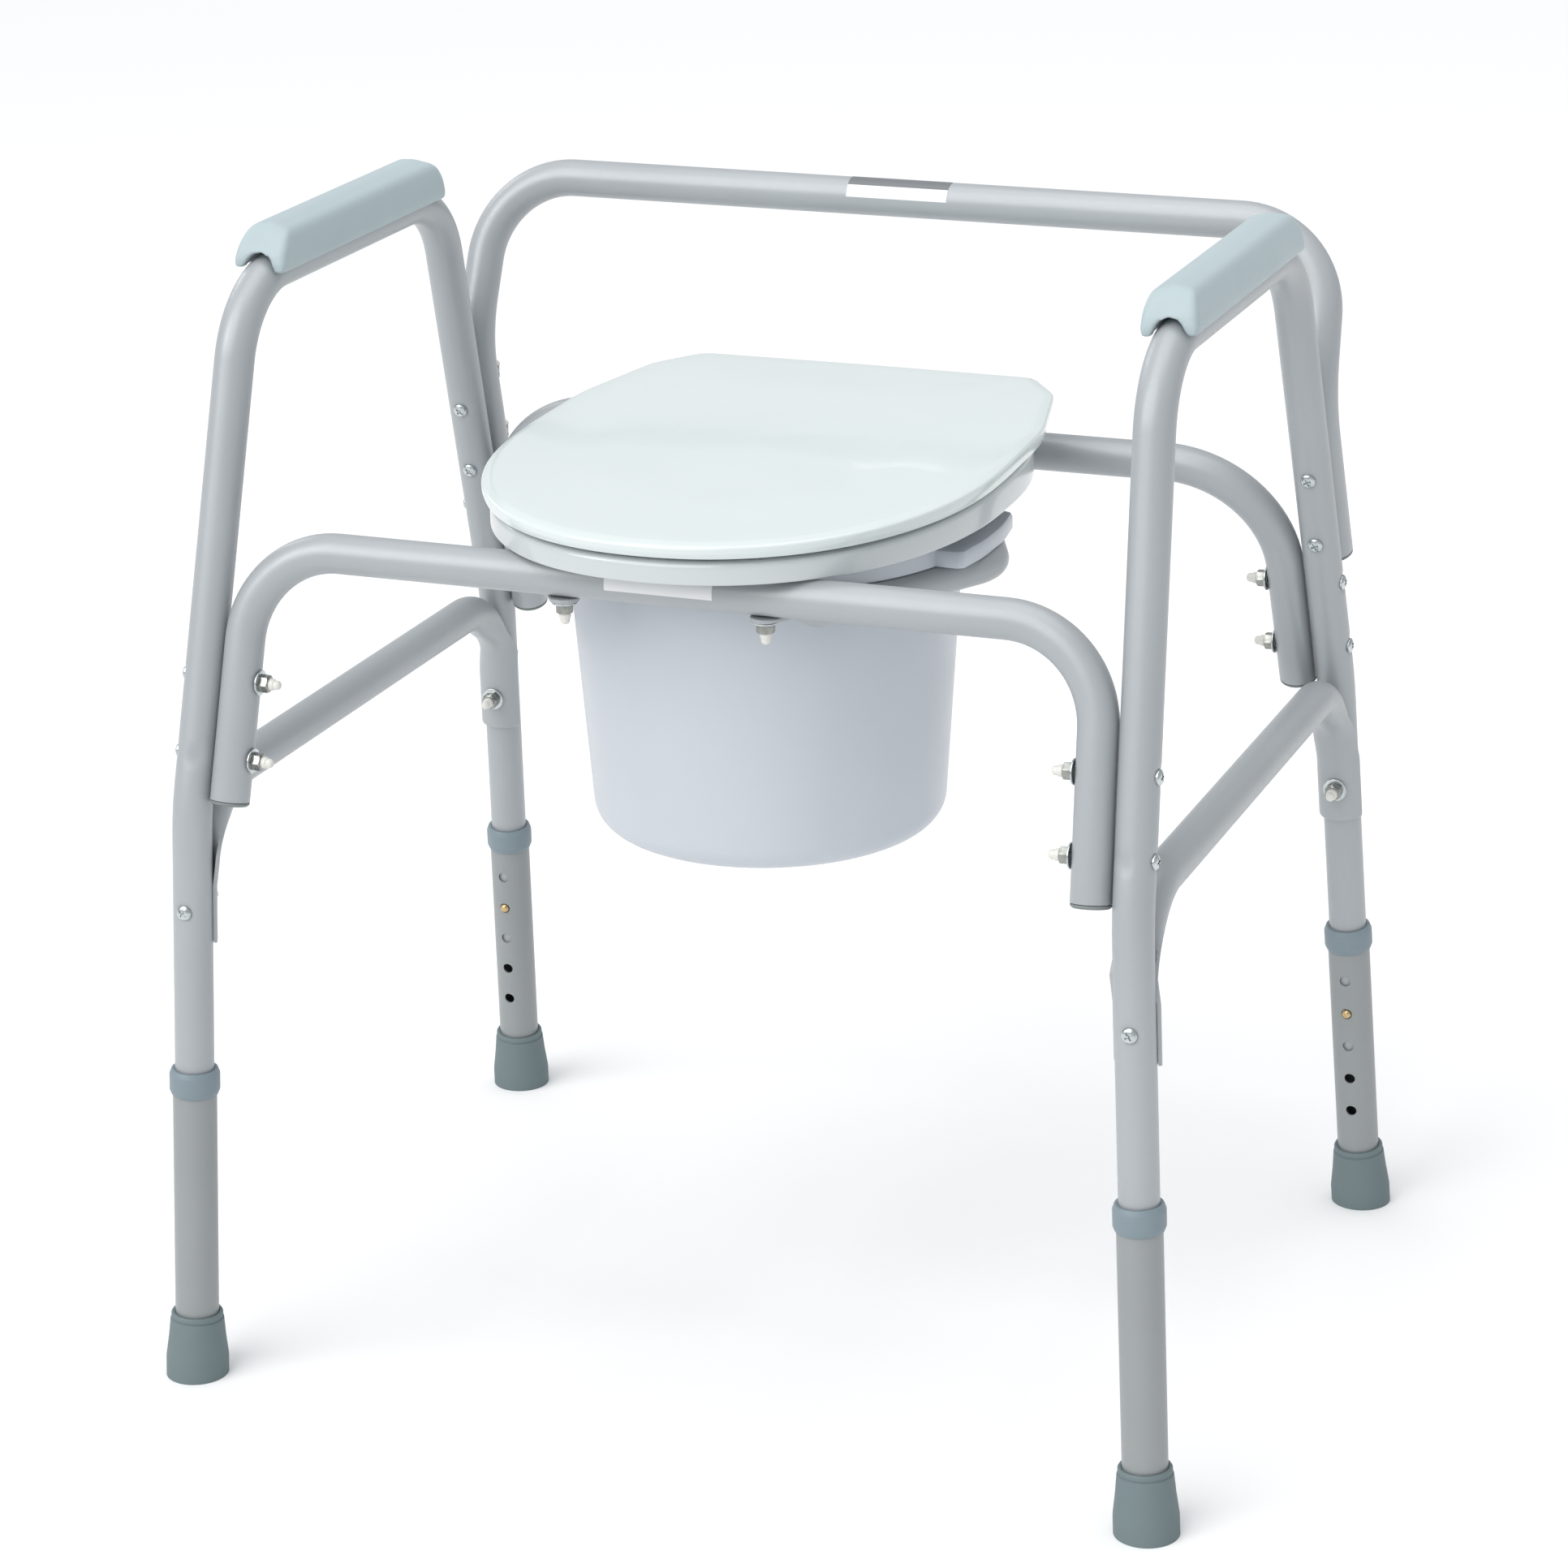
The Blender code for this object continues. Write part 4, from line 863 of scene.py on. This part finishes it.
# ---------------------------------------------------------------- seat and lid
def superellipse(half_width, reach, power, share):
    angle = share * math.pi / 2
    return half_width * max(0.0, math.cos(angle)) ** (2 / power), reach * math.sin(angle) ** (2 / power)


def even(points, count):
    """The closed loop of points sampled again at equal steps along it."""
    lengths = [0.0]
    loop = points + [points[0]]
    for a, b in zip(loop, loop[1:]):
        lengths.append(lengths[-1] + (b - a).length)
    result, k = [], 0
    for step in range(count):
        at = lengths[-1] * step / count
        while lengths[k + 1] < at:
            k += 1
        share = (at - lengths[k]) / (lengths[k + 1] - lengths[k])
        result.append(loop[k].lerp(loop[k + 1], share))
    return result


def oval(half_width, middle_y, front_reach, front_power, rear_reach, rear_power, count=128):
    """An outline from above that starts at its right-hand widest place and runs to the rear."""
    quarter = 90
    rear = [superellipse(half_width, rear_reach, rear_power, k / quarter) for k in range(quarter + 1)]
    front = [superellipse(half_width, front_reach, front_power, k / quarter) for k in range(quarter + 1)]
    loop = rear + [(-x, y) for x, y in reversed(rear[:-1])]
    loop += [(-x, -y) for x, y in front[1:]] + [(x, -y) for x, y in reversed(front[1:-1])]
    return even([Vector((x, middle_y + y, 0)) for x, y in loop], count)


def lid_outline(count=160):
    """Straight across the rear with cut corners, then round to the front."""
    widest = Vector((LID_HALF_WIDTH, -0.045, 0))
    corners = [widest] + [Vector((x, y, 0)) for x, y in ((0.1645, -0.030), (0.1620, 0.045), (0.1435, 0.1220))]
    corners += [Vector((0.1190, 0.1545, 0)), Vector((0, 0.1560, 0))]
    rear = fillet(corners, [0.30, 0.15, 0.030, 0.012], 3)
    front = [superellipse(LID_HALF_WIDTH, 0.200, FRONT_POWER, k / 90) for k in range(91)]
    front = [Vector((x, -0.045 - y, 0)) for x, y in front]
    right_front = list(reversed(front[1:]))
    left = [Vector((-p.x, p.y, 0)) for p in reversed(rear[:-1])]
    loop = rear + left + [Vector((-p.x, p.y, 0)) for p in front[1:]] + right_front[1:]
    return even(loop, count)


SEAT_OUTLINE = oval(SEAT_HALF_WIDTH, -0.039, 0.203, FRONT_POWER, 0.184, 2.8)
SEAT_HOLE = oval(0.104, -0.039, 0.135, 2.1, 0.118, 2.1)
LID_OUTLINE = lid_outline()
SEAT_FRONT, LID_FRONT = -0.242, -0.245


def seat_ring():
    """A moulded ring, hollow underneath with a turned-down inner and outer wall."""
    bands = [
        (0.050, SEAT_BOTTOM, 0.0006),
        (0.000, SEAT_BOTTOM, 0.0012),
        (0.000, SEAT_TOP - 0.0030, 0.004),
        (0.055, SEAT_TOP - 0.0002, 0.008),
        (0.25, SEAT_TOP, 0.05),
        (0.80, SEAT_TOP - 0.0022, 0.02),
        (0.965, SEAT_TOP - 0.0045, 0.004),
        (1.0, SEAT_TOP - 0.010, 0.004),
        (1.0, SEAT_BOTTOM + 0.001, 0.0008),
        (0.955, SEAT_BOTTOM + 0.001, 0.0006),
        (0.94, SEAT_TOP - 0.0075, 0.003),
        (0.085, SEAT_TOP - 0.0040, 0.003),
    ]
    width = 0.062
    corners = [Vector((share * width, z, 0)) for share, z, _ in bands]
    middle = (corners[0] + corners[-1]) / 2
    path = fillet([middle] + corners + [middle], [r for _, _, r in bands], 12)[:-1]
    rings = []
    for p in path:
        share, z = p.x / width, p.y
        ring = []
        for a, b in zip(SEAT_OUTLINE, SEAT_HOLE):
            spot = a.lerp(b, share)
            above = min(1.0, max(0.0, (z - SEAT_BOTTOM) / 0.010))
            ring.append(Vector((spot.x, spot.y, z + SEAT_RISE * (spot.y - SEAT_FRONT) * above)))
        rings.append(ring)
    return skin(rings, closed_loop=True)


def seat_lid():
    """A slightly crowned lid with a rounded rim and a short skirt."""
    centre = Vector((0, -0.045, 0))
    edge = LID_EDGE_TOP
    bands = [
        (0.000, LID_CROWN - 0.0036, 0, 0),
        (0.500, LID_CROWN - 0.0044, 0.3, 0),
        (0.955, edge - 0.0032, 0.002, 0),
        (0.966, LID_BOTTOM, 0.0005, 1),
        (0.992, LID_BOTTOM, 0.0012, 1),
        (1.000, LID_BOTTOM + 0.0035, 0.003, 1),
        (1.000, edge - 0.0008, 0.0022, 0),
        (0.965, edge + 0.0010, 0.012, 0),
        (0.600, LID_CROWN - 0.0008, 0.4, 0),
        (0.000, LID_CROWN, 0, 0),
    ]
    width = 0.18
    corners = [Vector((share * width, z, 0)) for share, z, _, _ in bands]
    path = fillet(corners, [r for _, _, r, _ in bands[1:-1]], 9)
    full = []
    for a, b in zip(path, path[1:]):
        full.append(a)
        parts = int((b - a).length / 0.012)
        full += [a.lerp(b, k / (parts + 1)) for k in range(1, parts + 1)]
    full.append(path[-1])
    bm = bmesh.new()
    rows = []
    for p in full:
        share, z = p.x / width, p.y
        low = 1 - min(1.0, max(0.0, (z - LID_BOTTOM) / 0.004))
        rise = LID_RISE + (SEAT_RISE - LID_RISE) * low
        if share < 1e-6:
            rows.append([bm.verts.new((0, centre.y, z + rise * (centre.y - LID_FRONT)))])
            continue
        row = []
        for a in LID_OUTLINE:
            spot = centre + (a - centre) * share
            row.append(bm.verts.new((spot.x, spot.y, z + rise * (spot.y - LID_FRONT))))
        rows.append(row)
    count = len(LID_OUTLINE)
    for one, two in zip(rows, rows[1:]):
        for k in range(count):
            after = (k + 1) % count
            if len(one) == 1:
                bm.faces.new((one[0], two[after], two[k]))
            elif len(two) == 1:
                bm.faces.new((one[k], one[after], two[0]))
            else:
                bm.faces.new((one[k], one[after], two[after], two[k]))
    return mesh_from(bm)


def clip(x, arm_top, arm_foot, overlap_y):
    """A spring clip over the rear crossbar with the arm that joins it to a seat or lid."""
    axis_y, axis_z = bar_line("rear")

    def arc(radius, start, end, steps):
        angles = [math.radians(start + (end - start) * k / steps) for k in range(steps + 1)]
        return [(axis_y + radius * math.cos(a), axis_z + radius * math.sin(a)) for a in angles]

    outline = arc(0.0165, -30, 95, 18)
    outline += [(overlap_y, arm_top), (overlap_y, arm_foot)]
    outline += arc(0.0165, 160, 210, 8)
    outline += arc(TUBE_R + 0.0002, 210, -30, 34)
    sides = [[Vector((x + side * CLIP_WIDTH / 2, y, z)) for y, z in outline] for side in (-1, 1)]
    rounding = {"width": 0.0007, "segments": 3, "limit_method": "ANGLE", "angle_limit": math.radians(50)}
    return baked(skin(sides), ("BEVEL", rounding))


piece("seat", seat_ring(), SEAT_WHITE_PAINTED_SHADE, "seat", ["seat_ring"], sharp=50)
piece("lid", seat_lid(), LID_WHITE_PAINTED_LIGHT, "lid", ["seat_lid"], sharp=50)
for word, side in SIDES.items():
    piece(f"seat_clip_{word}", clip(side * SEAT_CLIPS_X, 0.5895, 0.5765, 0.1425), SEAT_WHITE_PAINTED_SHADE, "seat")
    piece(f"lid_clip_{word}", clip(side * LID_CLIPS_X, 0.6070, 0.6005, 0.1475), LID_WHITE_PAINTED_LIGHT, "lid")


# ---------------------------------------------------------------- pail
def pail():
    """A tapered pail with a rounded foot and a deep flange, and an ear at each side."""
    loop = [
        (0.1285, PAIL_TOP, 0.0020),
        (PAIL_FLANGE_R, PAIL_TOP, 0.0020),
        (PAIL_FLANGE_R, PAIL_FLANGE_BOTTOM, 0.0010),
        (PAIL_FLANGE_R - 0.0028, PAIL_FLANGE_BOTTOM, 0.0010),
        (PAIL_FLANGE_R - 0.0030, PAIL_TOP - 0.0035, 0.0015),
        (0.1290, PAIL_TOP - 0.0035, 0.0015),
        (0.1140, PAIL_BOTTOM, 0.019),
        (0.0900, PAIL_BOTTOM, 0.001),
        (0.0880, PAIL_BOTTOM + 0.0015, 0.001),
    ]
    outer = fillet([Vector((r, z, 0)) for r, z, _ in loop], [c for _, _, c in loop[1:-1]], 8)
    inner = [(0, PAIL_BOTTOM + 0.0038, 0), (0.1118, PAIL_BOTTOM + 0.0034, 0.0165)]
    inner += [(0.1258, PAIL_TOP - 0.001, 0.0)]
    inner = fillet([Vector((r, z, 0)) for r, z, _ in inner], [c for _, _, c in inner[1:-1]], 8)
    profile = [(p.x, p.y, 0) for p in inner + outer] + [(0, PAIL_BOTTOM + 0.0015, 0)]
    body = turned(profile, 128)
    body.transform(Matrix.Translation((0, PAIL_Y, 0)))
    ears = []
    for side in (-1, 1):
        half, root = PAIL_EAR_HALF_LENGTH, PAIL_FLANGE_R - 0.010
        plan = [(PAIL_EAR_X - 0.0045, -half), (PAIL_EAR_X, -half + 0.031)]
        plan = [(root, -half)] + plan + [(x, -y) for x, y in reversed(plan)] + [(root, half)]
        plan = fillet([Vector((x, y, 0)) for x, y in plan], [0.005, 0.08, 0.08, 0.005], 9)
        thick = PAIL_EAR_TOP - PAIL_FLANGE_BOTTOM
        rings = []
        rounding = [(0.0012, 0), (0.0004, 0.0003), (0, 0.0012)]
        rounding += [(0, thick - 0.003), (0.0009, thick - 0.0009), (0.003, thick)]
        for inset, up in rounding:
            spots = [(p.x - inset * (p.x > root + 0.001), p.y * (1 - inset / half)) for p in plan]
            rings.append([Vector((side * x, PAIL_Y + y, PAIL_FLANGE_BOTTOM + up)) for x, y in spots])
        ears.append(skin(rings))
    return cut(body, *ears, join=True)


piece("pail_shell", pail(), PAIL_PLASTIC, "pail", ["pail"], sharp=40)

# ---------------------------------------------------------------- studio
floor_finish = Finish("studio_floor", (0.95, 0.95, 0.95), 0.7, Specular_IOR_Level=0.0)
floor_finish.vary_roughness(floor_finish.noise(3.0), 0.65, 0.75)
sheet = bmesh.new()
bmesh.ops.create_grid(sheet, x_segments=1, y_segments=1, size=40)
floor_object = bpy.data.objects.new("studio_floor", mesh_from(sheet))
bpy.context.scene.collection.objects.link(floor_object)
floor_object.data.materials.append(floor_finish.material)


def softbox(name, place, target, size, watts, diffuse=False):
    lamp = bpy.data.lights.new(name, "AREA")
    lamp.shape = "RECTANGLE"
    lamp.size, lamp.size_y = size
    lamp.energy = watts
    made = bpy.data.objects.new(name, lamp)
    bpy.context.scene.collection.objects.link(made)
    made.location = place
    made.rotation_euler = (Vector(target) - Vector(place)).to_track_quat("-Z", "Y").to_euler()
    made.visible_camera = False
    made.visible_diffuse = diffuse


sun = bpy.data.lights.new("key_sun", "SUN")
sun.energy = 1.8
sun.angle = math.radians(55)
sun.color = (1.0, 0.99, 0.97)
key = bpy.data.objects.new("key_sun", sun)
bpy.context.scene.collection.objects.link(key)
key.rotation_euler = Vector((0.38, 0.88, -0.85)).to_track_quat("-Z", "Y").to_euler()

softbox("left_softbox", (-2.4, -2.2, 2.0), (0, 0, 0.5), (1.2, 1.6), 20)
softbox("back_softbox", (-3.4, 1.8, 2.4), (0, 0, 0.5), (1.4, 1.2), 16)
softbox("top_softbox", (0, 0.2, 4.0), (0, 0.2, 0.5), (3.0, 3.0), 50, diffuse=True)

world = bpy.data.worlds.new("studio")
bpy.context.scene.world = world
world.use_nodes = True
world.node_tree.nodes["Background"].inputs["Color"].default_value = (0.95, 0.97, 1.0, 1)
world.node_tree.nodes["Background"].inputs["Strength"].default_value = 0.62
bpy.context.scene.view_settings.view_transform = "Standard"

camera = bpy.data.cameras.new("camera")
camera.lens = 103.9
camera.sensor_width = 36
camera.clip_end = 200
view = bpy.data.objects.new("camera", camera)
bpy.context.scene.collection.objects.link(view)
azimuth, elevation, roll = math.radians(-21.88), math.radians(19.45), math.radians(-1.19)
ahead = Vector((math.sin(azimuth), math.cos(azimuth), 0)) * math.cos(elevation)
ahead.z = -math.sin(elevation)
level_right = Vector((math.cos(azimuth), -math.sin(azimuth), 0))
level_up = level_right.cross(ahead)
right = level_right * math.cos(roll) + level_up * math.sin(roll)
up = level_up * math.cos(roll) - level_right * math.sin(roll)
CAMERA_PLACE = (1.0477, -2.6193, 1.3593)
view.matrix_world = Matrix.Translation(CAMERA_PLACE) @ Matrix((right, up, -ahead)).transposed().to_4x4()
bpy.context.scene.camera = view
